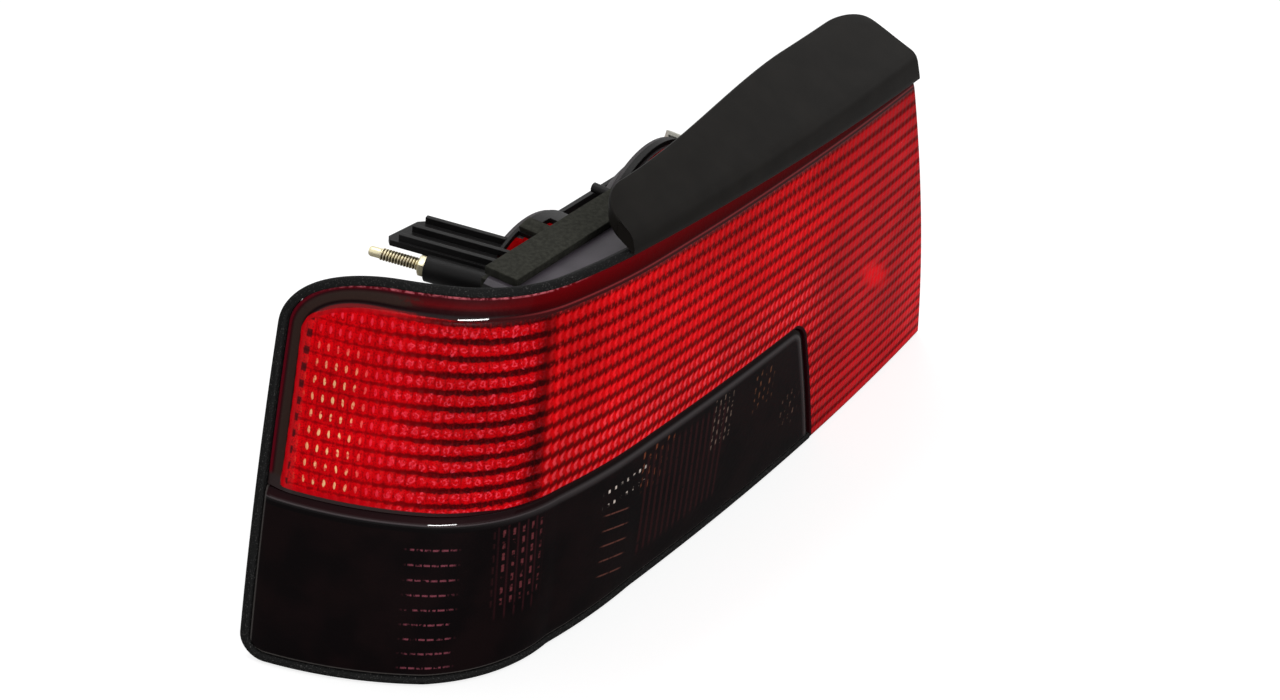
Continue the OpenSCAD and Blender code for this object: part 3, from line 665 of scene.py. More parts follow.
@dataclass(frozen=True)
class MouldedPlastic:
    """Satin moulded plastic with a fine grain.

    Attributes:
        name, colour, roughness: the material's name, colour and roughness.
        grain: depth of the grain, in metres.
        edge: radius of the softened edges, in metres.
        specular: strength of the plain reflection.
    """

    name: str
    colour: Colour
    roughness: float = 0.42
    grain: float = 0.00006
    edge: float = 0.0006
    specular: float = 0.22

    def material(self) -> bpy.types.Material:
        """Grain from two sizes of noise on rounded edges, with slightly uneven gloss.

        Returns:
            The material.
        """
        g = Graph(self.name)
        fine = g.noise(2600.0, 3.0)
        broad = g.noise(60.0, 2.0)
        return g.finish(
            Base_Color=g.mix(g.ramp(broad, 0.3, 0.7), self.colour, scaled(self.colour, 1.35)),
            Roughness=g.ramp(fine, 0.2, 0.8, self.roughness - 0.06, self.roughness + 0.08),
            Specular_IOR_Level=self.specular,
            Normal=g.bump(fine, self.grain, 1.0, g.rounded(self.edge)),
        )


@dataclass(frozen=True)
class Rubber:
    """Extruded black rubber with a coarse matt skin."""

    name: str = "black_rubber_skin"
    colour: Colour = srgb(15, 15, 15)

    def material(self) -> bpy.types.Material:
        """Two noises pit the skin and pale dust lies in it.

        Returns:
            The material.
        """
        g = Graph(self.name)
        pits = g.noise(1500.0, 4.0)
        height = g.plus(pits, g.times(g.noise(240.0, 2.0), 0.8))
        return g.finish(
            Base_Color=g.mix(g.ramp(pits, 0.56, 0.74), self.colour, srgb(74, 73, 72)),
            Roughness=g.ramp(pits, 0.3, 0.7, 0.5, 0.72),
            Specular_IOR_Level=0.1,
            Normal=g.bump(height, 0.0003, 0.9),
        )


@dataclass(frozen=True)
class Foam:
    """Closed-cell foam, grey green and matt."""

    name: str = "grey_foam_cells"

    def material(self) -> bpy.types.Material:
        """Cells from a Voronoi texture over broad unevenness.

        Returns:
            The material.
        """
        g = Graph(self.name)
        cells = g.node("ShaderNodeTexVoronoi")
        cells.inputs["Scale"].default_value = 2600.0
        g.feed(cells.inputs["Vector"], g.here())
        broad = g.noise(420.0, 3.0)
        return g.finish(
            Base_Color=g.mix(g.ramp(broad, 0.3, 0.75), srgb(48, 48, 43), srgb(62, 62, 56)),
            Roughness=0.95,
            Specular_IOR_Level=0.1,
            Normal=g.bump(g.plus(cells.outputs[0], broad), 0.00016, 0.8),
        )


@dataclass(frozen=True)
class Metal:
    """Plated or bare metal, lightly worn.

    Attributes:
        name, colour, roughness: the material's name, colour and roughness.
        second: colour of the worn patches.
        root: colour in the grooves of a thread, where the piece has one.
    """

    name: str
    colour: Colour
    roughness: float = 0.3
    second: Optional[Colour] = None
    root: Optional[Colour] = None

    def material(self) -> bpy.types.Material:
        """Patchy plating colour and gloss, with a darker root to a thread where the piece has one.

        Returns:
            The material.
        """
        g = Graph(self.name)
        patch = g.noise(350.0, 3.0)
        second = self.second or scaled(self.colour, 0.8)
        colour = g.mix(g.ramp(patch, 0.35, 0.7), self.colour, second)
        if self.root:
            colour = g.mix(g.ramp(g.attribute("groove"), 0.1, 0.9), colour, self.root)
        return g.finish(
            Base_Color=colour,
            Metallic=1.0,
            Roughness=g.ramp(patch, 0.3, 0.7, self.roughness - 0.06, self.roughness + 0.1),
            Normal=g.bump(g.noise(2500.0, 2.0), 0.00004),
        )


@dataclass(frozen=True)
class ClearPiece:
    """Clear or tinted glass or acrylic that lamps show through."""

    name: str
    colour: Colour
    roughness: float = 0.03
    ior: float = 1.49

    def material(self) -> bpy.types.Material:
        """Transmission with a faint unevenness.

        Returns:
            The material.
        """
        g = Graph(self.name)
        return g.finish(Base_Color=self.colour, Roughness=self.roughness, IOR=self.ior,
                        Transmission_Weight=1.0, Normal=g.bump(g.noise(90.0), 0.0004, 0.4))


@dataclass(frozen=True)
class Reflector:
    """Aluminised inside of a chamber, with the red light that the lens lets in."""

    name: str = "metallised_red_lit"
    colour: Colour = srgb(205, 12, 18)

    def material(self) -> bpy.types.Material:
        """Bright metal with a slow ripple from the moulding, and a dim red glow.

        Returns:
            The material.
        """
        g = Graph(self.name)
        ripple = g.noise(130.0, 2.0)
        return g.finish(
            Base_Color=g.mix(g.ramp(ripple, 0.3, 0.7), self.colour, srgb(150, 4, 6)),
            Metallic=0.35,
            Roughness=0.28,
            Emission_Color=g.mix(g.ramp(ripple, 0.35, 0.65), srgb(196, 10, 18), srgb(120, 2, 6)),
            Emission_Strength=0.26,
            Normal=g.bump(ripple, 0.0015, 0.5),
        )


@dataclass(frozen=True)
class RedOptics:
    """Red acrylic whose inside is cut into rows of prisms, under a smooth polished face.

    Attributes:
        pitch, column: height and width of a prism.
        first: s of the middle of one column.
        turn: where along the face the side's prisms give way to the rear's.
        wall: s of the chamber wall that darkens the corner.
        spot: s and z of the light spot.
        spot_shape: the spot's shares of du squared, du times dz and dz squared.
    """

    pitch: float = 8.2
    column: float = 4.6
    first: float = 6.0
    turn: tuple[float, float] = (111.0, 117.0)
    wall: float = 115.0
    spot: tuple[float, float] = (416.7, -100.1)
    spot_shape: tuple[float, float, float] = (1.13, 2.61, 2.47)

    def side(self, g: Graph, s: Value, z: Value, row: Value, col: Value, grain: Value) -> Socket:
        """Rows on the side: grooves that grow wider and darker towards the corner, and glints that turn to
        broken rings.

        Args:
            g: the material's nodes.
            s, z: place on the lens face, in millimetres.
            row, col: place in the prism, from -0.5 to 0.5.
            grain: fine noise.

        Returns:
            The colour.
        """
        away, across = g.size(row), g.size(col)
        shift = g.minus(g.noise(190.0, 2.0), 0.5)
        jitter = g.times(g.minus(grain, 0.5), 0.36)
        groove = g.minus(g.plus(away, jitter), g.ramp(s, 10.0, 85.0, 0.44, 0.29))
        dark = g.mix(g.ramp(s, 30.0, 80.0), srgb(150, 0, 6), srgb(66, 0, 3))
        colour = g.mix(g.ramp(groove, -0.07, 0.09), srgb(214, 2, 12), dark)
        comb = g.times(g.ramp(across, 0.34, 0.48), g.ramp(grain, 0.35, 0.6), 0.55)
        colour = g.mix(comb, colour, srgb(126, 0, 6))
        specks = g.times(g.ramp(g.noise(1100.0, 2.0), 0.5, 0.66), 0.55)
        colour = g.mix(specks, colour, srgb(120, 0, 6))
        drop = g.plus(g.square(g.plus(col, g.times(shift, 0.3)), 7.2), g.square(g.plus(row, 0.02), 4.2))
        glint = g.times(g.ramp(drop, 1.2, 0.5), g.ramp(s, 5.0, 14.0), g.ramp(s, 66.0, 44.0))
        warm = g.times(g.ramp(s, 36.0, 25.0), g.ramp(z, -8.0, -36.0), g.ramp(grain, 0.32, 0.54))
        colour = g.mix(g.times(glint, g.ramp(grain, 0.26, 0.52, 0.35, 0.9)), colour,
                       g.mix(warm, srgb(238, 44, 64), srgb(255, 198, 142)))
        oval = g.math("SQRT", g.plus(g.square(g.plus(col, shift), 4.2), g.square(g.plus(row, shift), 6.2)))
        ring = g.times(g.ramp(g.apart(oval, 1.0), 0.62, 0.1), g.window(s, 46, 112, 16))
        colour = g.mix(g.times(ring, g.ramp(g.noise(700.0, 2.0), 0.4, 0.6), 0.85), colour, srgb(248, 64, 82))
        beside = g.apart(s, g.plus(6.0, g.times(z, 0.042)))
        squares = g.times(g.ramp(beside, 1.7, 1.0), g.ramp(away, 0.22, 0.32), 0.85)
        return g.mix(squares, colour, srgb(44, 0, 5))

    def rear(self, g: Graph, s: Value, z: Value, row: Value, col: Value, grain: Value) -> Socket:
        """Rows on the rear: a painted curved highlight in each prism, which fades to plain stripes at the
        inner end, and painted highlight dashes.

        Args:
            g: the material's nodes.
            s, z: place on the lens face, in millimetres.
            row, col: place in the prism, from -0.5 to 0.5.
            grain: fine noise.

        Returns:
            The colour.
        """
        lean = g.ramp(s, 420.0, 320.0)
        wave = g.times(g.minus(grain, 0.5), 0.14)
        bent = g.size(g.plus(g.minus(row, g.times(col, lean, 0.2)), wave))
        colour = g.mix(g.ramp(bent, 0.42, 0.2), g.mix(lean, srgb(146, 0, 6), srgb(112, 0, 2)),
                       g.mix(lean, srgb(244, 32, 42), srgb(222, 4, 12)))
        # Painted highlight: a pale curved mark in each prism, paler in the lower rows.
        curved = g.apart(g.plus(col, g.times(g.size(row), -0.75)), -0.1)
        painted_curve_highlight = g.times(g.ramp(curved, 0.28, 0.1), g.ramp(bent, 0.34, 0.16), lean)
        colour = g.mix(g.times(painted_curve_highlight, g.ramp(grain, 0.3, 0.6, 0.5, 0.95)), colour,
                       g.mix(g.ramp(z, -45.0, -80.0), srgb(255, 32, 40), srgb(255, 74, 84)))
        # Painted highlight: short pale dashes along the columns in the middle rows.
        painted_dashes = g.times(g.ramp(g.size(g.plus(col, g.times(wave, 2.0))), 0.2, 0.06),
                         g.ramp(g.noise(800.0, 2.0), 0.42, 0.58), lean,
                         g.ramp(z, -66.0, -18.0), g.ramp(bent, 0.2, 0.4))
        return g.mix(g.times(painted_dashes, 0.6), colour, srgb(232, 40, 46))

    def edges(self, g: Graph, s: Value, z: Value, margin: Value, grain: Value) -> Socket:
        """Plain border between the rim and the prisms, seen through to its walls, with painted highlight
        lines, a painted grey-brown reflection in the side's border and painted sparkle near the rim.

        Args:
            g: the material's nodes.
            s, z: place on the lens face, in millimetres.
            margin: distance inside the rim, in millimetres.
            grain: fine noise.

        Returns:
            The colour.
        """
        # Painted light in these bands: the lighter thin stops just inside the rim and at 14.2 on the rear are
        # painted highlight lines, and the grey-brown stops of the side's band are a painted reflection.
        side = g.bands(margin, (4.6, srgb(18, 4, 8)), (5.2, srgb(112, 20, 36)), (6.0, srgb(96, 8, 22)),
                       (6.9, srgb(44, 8, 14)), (8.2, srgb(50, 37, 33)), (11.4, srgb(48, 33, 29)),
                       (12.4, srgb(16, 3, 5)), (13.6, srgb(24, 2, 4)), (14.4, srgb(120, 2, 8)))
        corner = g.bands(margin, (4.6, srgb(22, 4, 8)), (5.4, srgb(96, 14, 26)), (6.6, srgb(60, 6, 12)),
                         (9.5, srgb(92, 4, 10)), (11.4, srgb(40, 3, 7)), (14.2, srgb(16, 2, 4)),
                         (15.6, srgb(66, 2, 6)))
        rear = g.bands(margin, (4.6, srgb(30, 2, 6)), (5.4, srgb(112, 2, 10)), (8.5, srgb(92, 0, 4)),
                       (12.8, srgb(66, 0, 3)), (13.6, srgb(52, 0, 3)), (14.2, srgb(136, 40, 44)),
                       (14.9, srgb(60, 2, 5)), (17.6, srgb(44, 0, 3)))
        broken = g.ramp(g.plus(grain, g.ramp(s, 36.0, 76.0)), 0.5, 0.9)
        colour = g.mix(g.times(g.ramp(s, 36.0, 60.0), broken), side, corner)
        colour = g.mix(g.ramp(s, 76.0, 132.0), colour, rear)
        # Painted sparkle: pale pink highlights near the rim.
        painted_sparkle = g.times(g.window(margin, 4.7, 6.0, 0.8), g.window(s, 20, 130, 40), g.ramp(grain, 0.4, 0.6))
        colour = g.mix(g.times(painted_sparkle, 0.8), colour, srgb(236, 120, 132))
        below = g.mix(g.ramp(s, 40.0, 105.0), srgb(50, 40, 40), srgb(34, 4, 8))
        return g.mix(g.ramp(z, -83.5, -86.5), colour, below)

    def light(self, g: Graph, s: Value, z: Value) -> Socket:
        """Broad light and shade of the chambers behind: a wall, duller top rows, a darker inner part.

        Args:
            g: the material's nodes.
            s, z: place on the lens face, in millimetres.

        Returns:
            Share of the colour's brightness.
        """
        wall = g.apart(s, g.plus(self.wall, g.times(z, 0.07)))
        value = g.times(g.ramp(g.noise(26.0, 2.0), 0.3, 0.7, 0.86, 1.08), g.ramp(s, 116.0, 134.0, 1.0, 1.14),
                        g.ramp(wall, 8.0, 0.5, 1.0, 0.34), g.ramp(s, 20.0, 100.0, 1.04, 0.92))
        top = g.times(g.ramp(z, -26.0, -4.0), g.ramp(s, 130.0, 220.0), 0.24)
        for shade in (g.times(g.window(s, 122, 150, 16), 0.18), g.times(g.window(s, 345, 470, 40), 0.2), top):
            value = g.times(value, g.minus(1.0, shade))
        return value

    def spotted(self, g: Graph, s: Value, z: Value, colour: Value) -> Socket:
        """Colour with an oval light spot at the inner end.

        The distance from the spot is the root of a du squared + b du dz + c dz squared.

        Args:
            g: the material's nodes.
            s, z: place on the lens face, in millimetres.
            colour: the colour without the spot.

        Returns:
            The colour with it.
        """
        a, b, c = self.spot_shape
        du, dz = g.minus(s, self.spot[0]), g.minus(z, self.spot[1])
        near = g.math("SQRT", g.plus(g.plus(g.times(du, du, a), g.times(dz, dz, c)), g.times(du, dz, b)))
        return g.mix(g.ramp(near, 17.0, 4.0), colour, srgb(255, 20, 32))

    def material(self) -> bpy.types.Material:
        """Rows and columns from s and z: bright crests, dark grooves, glints at each prism.

        Returns:
            The material.
        """
        g = Graph("red_optics")
        s, z = g.face_place()
        margin, inside = g.attribute("margin"), g.attribute("field")
        row, col = g.cell(z, self.pitch, 0.0), g.cell(s, self.column, self.first)
        grain = g.noise(420.0, 3.0)
        optics = g.mix(g.ramp(s, self.turn[1], self.turn[0]), self.rear(g, s, z, row, col, grain),
                       self.side(g, s, z, row, col, grain))
        shaded = g.node("ShaderNodeHueSaturation")
        g.feed(shaded.inputs["Color"], optics)
        g.feed(shaded.inputs["Value"], self.light(g, s, z))
        optics = self.spotted(g, s, z, shaded.outputs[0])
        frame = g.times(g.ramp(inside, 2.6, 1.8), g.ramp(s, 62.0, 30.0))
        optics = g.mix(frame, optics, srgb(186, 2, 14))
        shown = g.ramp(inside, -0.3, 0.3)
        crest, ripple = (g.math("COSINE", g.times(part, 2 * math.pi)) for part in (row, col))
        height = g.plus(g.times(g.plus(crest, g.times(ripple, 0.5)), shown, 0.5), g.times(grain, 0.3))
        return g.finish(
            Base_Color=g.mix(shown, self.edges(g, s, z, margin, grain), optics),
            Roughness=0.42,
            Specular_IOR_Level=0.02,
            Coat_Weight=g.plus(0.045, g.times(g.window(margin, 13.4, 17.4, 1.2), 0.3)),
            Coat_Roughness=0.03,
            Coat_IOR=1.49,
            Normal=g.bump(height, 0.0009, 0.8),
        )


@dataclass(frozen=True)
class Patch:
    """A place of the smoked lens where prisms behind it catch light as marks in rows and columns.

    Attributes:
        s, z: its reach along the face and in height.
        pitch: distance between marks along the face and in height.
        origin: middle of one mark.
        size: half size of a mark, as shares of the pitches.
        lean: how far a mark climbs, in rows for each column.
        tone: display colour of the marks.
        gate: level of the noise under which marks vanish.
    """

    s: tuple[float, float]
    z: tuple[float, float]
    pitch: tuple[float, float]
    origin: tuple[float, float]
    size: tuple[float, float]
    lean: float
    tone: tuple[int, int, int]
    gate: float

    def mask(self, g: Graph, s: Value, z: Value, grain: Value) -> Socket:
        """One on the marks, and zero between them and outside the patch.

        Args:
            g: the material's nodes.
            s, z: place on the lens face, in millimetres.
            grain: fine noise.

        Returns:
            The mask.
        """
        climb = g.times(g.minus(s, self.origin[0]), -self.lean)
        col = g.cell(s, self.pitch[0], self.origin[0])
        row = g.cell(g.plus(z, climb), self.pitch[1], self.origin[1])
        marks = g.times(g.ramp(g.size(col), self.size[0] + 0.06, self.size[0] - 0.06),
                        g.ramp(g.size(row), self.size[1] + 0.05, self.size[1] - 0.04))
        reach = g.times(g.window(s, *self.s, 5.0), g.window(z, *self.z, 5.0))
        return g.times(marks, reach, g.ramp(grain, self.gate - 0.06, self.gate + 0.12))


@dataclass(frozen=True)
class SmokedOptics:
    """Smoke-tinted acrylic: almost black, with faint prisms behind a polished face.

    Attributes:
        patches: the places where prisms show.
    """

    patches: tuple[Patch, ...] = (
        Patch((58, 77), (-179, -104), (3.4, 8.15), (66, -109.2), (0.38, 0.05), 0, (124, 62, 74), 0.42),
        Patch((94, 116), (-144, -99), (4.63, 6.4), (97, -104.2), (0.13, 0.3), 0, (96, 44, 48), 0.42),
        Patch((94, 116), (-152, -99), (4.63, 60), (99, -124), (0.1, 0.5), 0, (40, 14, 18), 0.3),
        Patch((159, 191), (-121, -106), (4.8, 8.2), (161.4, -109.6), (0.15, 0.11), 0, (220, 206, 196), 0.46),
        Patch((160, 179), (-166, -122), (40, 9.3), (172, -126.5), (0.5, 0.035), -0.26, (104, 62, 54), 0.36),
        Patch((186, 214), (-123, -99), (5, 8.2), (188.2, -101.6), (0.15, 0.26), 0.9, (112, 58, 38), 0.44),
        Patch((204, 248), (-160, -146), (5.2, 7), (207.8, -151.6), (0.12, 0.34), 0.9, (112, 54, 56), 0.42),
        Patch((190, 262), (-164, -104), (5.2, 60), (207.8, -134), (0.2, 0.5), 0, (40, 15, 17), 0.3),
        Patch((249, 268), (-130, -98), (4, 6), (250.5, -99.4), (0.13, 0.28), 0.5, (118, 100, 90), 0.44),
        Patch((288, 308), (-126, -103), (4.6, 7), (289.7, -106.2), (0.14, 0.24), 0.5, (104, 66, 46), 0.47),
        Patch((322, 340), (-156, -134), (4.6, 8), (327.8, -136.1), (0.13, 0.2), 0.3, (108, 82, 70), 0.5),
    )

    def material(self) -> bpy.types.Material:
        """Patches of marks over the dark tint, a bevel beside the red lens with a painted highlight line and
        a painted grey reflection, and a painted highlight along the rim's edge.

        Returns:
            The material.
        """
        g = Graph("smoked_optics")
        s, z = g.face_place()
        grain = g.noise(330.0, 3.0)
        colour = g.mix(g.ramp(g.noise(40.0, 2.0), 0.35, 0.65), srgb(8, 4, 5), srgb(16, 7, 8))
        for patch in self.patches:
            colour = g.mix(patch.mask(g, s, z, grain), colour, srgb(*patch.tone))
        bevel = g.attribute("bevel")
        # Painted light in the bevel: a pale highlight line at 4.3 on the side, and a grey reflection from 4.2
        # to 6.4 on the rear.
        side = g.bands(bevel, (0.0, srgb(22, 4, 7)), (3.8, srgb(30, 5, 9)), (4.3, srgb(74, 66, 68)),
                       (4.9, srgb(10, 7, 8)), (7.4, srgb(8, 5, 6)))
        rear = g.bands(bevel, (0.0, srgb(24, 6, 4)), (2.6, srgb(16, 10, 10)), (4.2, srgb(58, 53, 54)),
                       (6.4, srgb(46, 41, 42)), (7.8, srgb(16, 9, 10)))
        band = g.mix(g.ramp(s, 70.0, 150.0), side, rear)
        colour = g.mix(g.ramp(bevel, 8.4, 7.4), colour, band)
        # Painted highlight: a pale line along the lens's rounded edge by the rim.
        painted_edge_highlight = g.times(g.window(g.attribute("rim"), 4.9, 5.8, 0.6), 0.7)
        return g.finish(
            Base_Color=g.mix(painted_edge_highlight, colour, srgb(84, 80, 78)),
            Roughness=0.45,
            Specular_IOR_Level=0.02,
            Coat_Weight=g.plus(0.09, g.times(g.window(bevel, 3.4, 5.6, 0.8), 0.35)),
            Coat_Roughness=0.02,
            Coat_IOR=1.49,
            Normal=g.bump(grain, 0.0002, 0.4),
        )


class Finish(Enum):
    """The lamp's finishes, one for each kind of surface."""

    HOUSING = MouldedPlastic("housing_black", srgb(24, 23, 23), 0.42, specular=0.16)
    TRIM = MouldedPlastic("trim_satin_black", srgb(22, 20, 18), 0.38, 0.00003, specular=0.07)
    CARRIER = MouldedPlastic("carrier_black", srgb(34, 34, 34), 0.5)
    NYLON = MouldedPlastic("natural_nylon", srgb(222, 220, 208), 0.4)
    GREY = MouldedPlastic("reflector_dark_grey", srgb(58, 54, 56), 0.4)
    # Painted sheen: grey for the housing's faces that look up on the top.
    PAINTED_SHEEN = MouldedPlastic("housing_grey_sheen", srgb(66, 61, 67), 0.32, 0.00002)
    RUBBER = Rubber()
    FOAM = Foam()
    ZINC = Metal("yellow_zinc", srgb(238, 228, 188), 0.4, srgb(226, 216, 188), srgb(112, 88, 52))
    BRASS = Metal("bare_brass", srgb(212, 172, 92), 0.28)
    TIN = Metal("tinned_brass", srgb(206, 202, 192), 0.3)
    CHROME = Metal("aluminised_sheet", srgb(222, 222, 224), 0.14)
    GLASS = ClearPiece("bulb_glass", srgb(246, 248, 248))
    AMBER_GLASS = ClearPiece("bulb_amber_glass", srgb(255, 150, 40))
    AMBER = ClearPiece("amber_acrylic", srgb(255, 150, 30))
    CLEAR = ClearPiece("clear_acrylic", srgb(244, 248, 250))
    RED_LIT = Reflector()
    RED = RedOptics()
    SMOKED = SmokedOptics()

    def material(self) -> bpy.types.Material:
        """The finish's material, made once.

        Returns:
            The material.
        """
        made = FINISHES.get(self.name)
        if made is None:
            made = FINISHES[self.name] = self.value.material()
        return made


FINISHES: dict[str, bpy.types.Material] = {}


def dress(obj: bpy.types.Object, *finishes: Finish) -> bpy.types.Object:
    """Gives a piece its finishes, the first of them all over.

    Args:
        obj: the piece.
        finishes: its finishes.

    Returns:
        The piece.
    """
    obj.data.materials.clear()
    for finish in finishes:
        obj.data.materials.append(finish.material())
    return obj


def place(obj: bpy.types.Object, finish: Finish, slot: str, *nodes: str) -> bpy.types.Object:
    """Dresses a new piece and lets it stand for CAD nodes.

    Args:
        obj: the piece.
        finish: its finish.
        slot: the record's material slot; not used.
        nodes: the CAD nodes it stands for.

    Returns:
        The piece.
    """
    dress(obj, finish)
    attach(obj, "root")
    if nodes:
        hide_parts(*nodes)
    LOG.info("%s: %d faces", obj.name, len(obj.data.polygons))
    return obj


@dataclass
class LensShell:
    """A moulded lens: front face, back face and edges over a grid with a notch.

    Attributes:
        face, parting: the lens face, and the line between the lenses.
        wall: thickness.
        edge_inset: how far the rim covers the lens.
        edge_radius: radius of the front's edges.
    """

    face: LensFace = field(default_factory=LensFace)
    parting: Parting = field(default_factory=Parting)
    wall: float = 3.0
    edge_inset: float = 4.6
    edge_radius: float = 0.9

    def build(self, name: str, grid: tuple[np.ndarray, np.ndarray], keep: np.ndarray, edge: np.ndarray,
              depth: np.ndarray, numbers: dict[str, np.ndarray]) -> bpy.types.Object:
        """Closed shell over a grid of places on the lens face.

        An edge rounding of r - sqrt(r^2 - (r - u)^2) is added to the front's depth within r
        of the outline.

        Args:
            name: the piece's name.
            grid: s and z of the grid's points.
            keep: which cells exist, one row and column fewer than the points.
            edge: distance of each point from the piece's own outline.
            depth: depth of the front face at each point.
            numbers: what each point tells the material, by name.

        Returns:
            The lens, with its s and z as UV map.
        """
        s, z = grid
        r = self.edge_radius
        u = np.clip(r - np.maximum(edge, 0.0), 0.0, r)
        front = depth + r - np.sqrt(r * r - u * u)
        points = np.stack([self.face.point(s, z, front), self.face.point(s, z, front * 0 + self.wall)])
        rows, cols = s.shape
        index = np.arange(rows * cols).reshape(rows, cols)
        a, b, c, d = index[:-1, :-1], index[:-1, 1:], index[1:, 1:], index[1:, :-1]
        n = rows * cols
        faces = [np.stack([a, d, c, b], axis=-1)[keep], np.stack([a, b, c, d], axis=-1)[keep] + n]
        padded = np.pad(keep, 1)
        for p, q, beyond in ((a, b, padded[:-2, 1:-1]), (c, d, padded[2:, 1:-1]),
                             (d, a, padded[1:-1, :-2]), (b, c, padded[1:-1, 2:])):
            open_side = keep & ~beyond
            p, q = p[open_side], q[open_side]
            faces.append(np.stack([p, q, q + n, p + n], axis=-1))
        obj = new_mesh(name, points, np.concatenate(faces))
        set_uv(obj, np.stack([s, z], axis=-1)[None].repeat(2, axis=0) * MM)
        for key, values in numbers.items():
            set_attribute(obj, key, np.stack([values] * 2))
        sharpen(obj, 40.0)
        return obj


@dataclass
class RedLens(LensShell):
    """The red lens: over the whole top, and down the inner end.

    Attributes:
        ridge: distance inside the rim where the front starts to slope back.
        slope: depth of the slope for each millimetre.
        cover_inset: how far the lens ends inside the rim's edge where it covers the rim.
    """

    ridge: float = 15.5
    slope: float = 0.17
    cover_inset: float = 0.3

    def field(self, s: np.ndarray, z: np.ndarray) -> np.ndarray:
        """Distance inside the field of prisms, whose upper outer corner is rounded.

        With a and b the ways to the side and the top edge and r = 4, it is
        r - sqrt(max(r - a, 0)^2 + max(r - b, 0)^2), or the way to the foot where that is less.

        Args:
            s, z: length along the curve and height.

        Returns:
            The distances.
        """
        left = s - np.interp(z, [-84.3, -79.3, -42.5, -6.4], [0.4, 0.9, 1.5, 0.9])
        top = np.interp(s, [0.9, 4.0, 8.0, 16.0, 27.4, 40.2, 64.0, 90.0],
                        [-8.0, -4.4, -1.6, 2.2, 5.2, 6.4, 5.8, 4.9]) - z
        foot = np.maximum(z - np.interp(s, [31.0, 70.0, 95.0], [-84.2, -87.9, -90.4]),
                          -self.parting.inside(s, z) - 2.5)
        r = 4.0
        return np.minimum(r - np.hypot(np.maximum(r - left, 0.0), np.maximum(r - top, 0.0)), foot)

    def make(self) -> bpy.types.Object:
        """Grid with columns along the curve above the parting line, and from notch to end below it.

        Returns:
            The lens.
        """
        face, line, inset, cover = self.face, self.parting, self.edge_inset, self.cover_inset
        cs = face.corner_centre[0]
        corner = cs - (face.corner[0] - inset) * np.cos(np.linspace(0.0, math.pi / 2, 26))
        split = line.end - line.corner
        body = np.concatenate([corner, np.linspace(cs, split, 130)[1:]])
        share = np.concatenate([[0.003, 0.008, 0.016], np.linspace(0.03, 0.98, 42),
                                [0.99, 0.994, 0.997, 1.0]])
        foot = line.level + line.gap
        crown = face.top - inset
        upper = np.concatenate([[crown, crown - 0.4, crown - 0.9], np.linspace(crown - 2, foot + 3, 50),
                                foot + np.array([1.6, 0.9, 0.4, 0])])
        lower = np.concatenate([line.level - np.array([0.3, 1, 2, 3.4, 5, 7, 9, 12]),
                                np.linspace(line.level - 15, -face.foot + 2, 36),
                                -face.foot + cover + np.array([0.9, 0.4, 0.0])])
        level = np.concatenate([upper, lower])[:, None]
        below = level < line.level
        start = np.where(below, line.line(level) + line.gap, split)
        right = start + (face.inner_end(level, cover) - start) * share[None, :]
        s = np.concatenate([np.broadcast_to(body, (len(level), len(body))), right], axis=1)
        s[len(upper):, len(body) - 1] = start[len(upper):, 0]
        squeeze = -40.0
        rise = (face.top_edge(s, inset) - squeeze) / (crown - squeeze)
        z = np.where(level > squeeze, squeeze + (level - squeeze) * rise, level)
        keep = np.ones((s.shape[0] - 1, s.shape[1] - 1), dtype=bool)
        keep[len(upper) - 1:, :len(body) - 1] = False
        margin = face.margin(s, z)
        edge = np.minimum.reduce([margin - inset, face.end_gap(s, z) - cover, z + face.foot - cover,
                                  -line.inside(s, z) - line.gap])
        depth = np.maximum(0.0, self.ridge - margin) * self.slope
        lens = self.build("red_lens_moulding", (s, z), keep, edge, depth,
                          {"margin": margin, "field": self.field(s, z)})
        return place(lens, Finish.RED, "red_plastic", "red_lens")


@dataclass
class SmokedLens(LensShell):
    """The smoked lens: under the parting line, out to the rim, with a bevel beside the red lens.

    Attributes:
        bevel, bevel_slope: width of the bevel beside the red lens, and its depth for each millimetre.
        side_bevel, side_slope: the same for the bevel beside the rim.
        lift: how far each of the lowest rows stands over the next, in millimetres.
    """

    bevel: float = 4.5
    bevel_slope: float = 0.3
    side_bevel: float = 8.0
    side_slope: float = 0.15
    lift: float = 0.15

    def make(self) -> bpy.types.Object:
        """Grid from the rim to the rounded and slanted inner edge.

        Returns:
            The lens.
        """
        face, line, inset = self.face, self.parting, self.edge_inset
        levels = np.concatenate([line.level - line.gap - np.array([0, 0.3, 0.8, 1.6, 3, 4.2, 4.8, 6, 8, 10]),
                                 np.linspace(line.level - 13, -face.foot + inset + 8, 30),
                                 -face.foot + inset + np.array([6.0, 4.2, 2.8, 1.6, 0.8, 0.3, 0.0])])[:, None]
        near = np.array([0.0, 0.3, 0.8, 1.6, 2.6, 3.4, 4.2])
        far = np.array([6.0, 5.2, 4.6, 4.2, 3.0, 1.6, 0.8, 0.3, 0.0])
        start = inset - face.start
        limit = line.line(levels) - line.gap
        first, last = start + near[-1], limit - far[0]
        middle = first + (last - first) * np.linspace(0.0, 1.0, 150)[None, 1:-1]
        s = np.concatenate([np.broadcast_to(start + near, (len(levels), len(near))), middle, limit - far],
                           axis=1)
        lift = np.arange(len(levels))[::-1, None] * self.lift
        z = np.maximum(levels, face.foot_edge(s, inset) + lift)
        bevel = line.inside(s, z) - line.gap
        rim = np.minimum(s + face.start, z - face.foot_edge(s, 0.0))
        depth = np.maximum(np.maximum(0.0, self.bevel - bevel) * self.bevel_slope,
                           np.maximum(0.0, self.side_bevel - rim) * self.side_slope)
        keep = np.ones((s.shape[0] - 1, s.shape[1] - 1), dtype=bool)
        edge = np.minimum.reduce([s - start, z - face.foot_edge(s, inset), bevel])
        lens = self.build("smoked_lens_moulding", (s, z), keep, edge, depth, {"bevel": bevel, "rim": rim})
        return place(lens, Finish.SMOKED, "smoked_plastic", "smoked_lens")


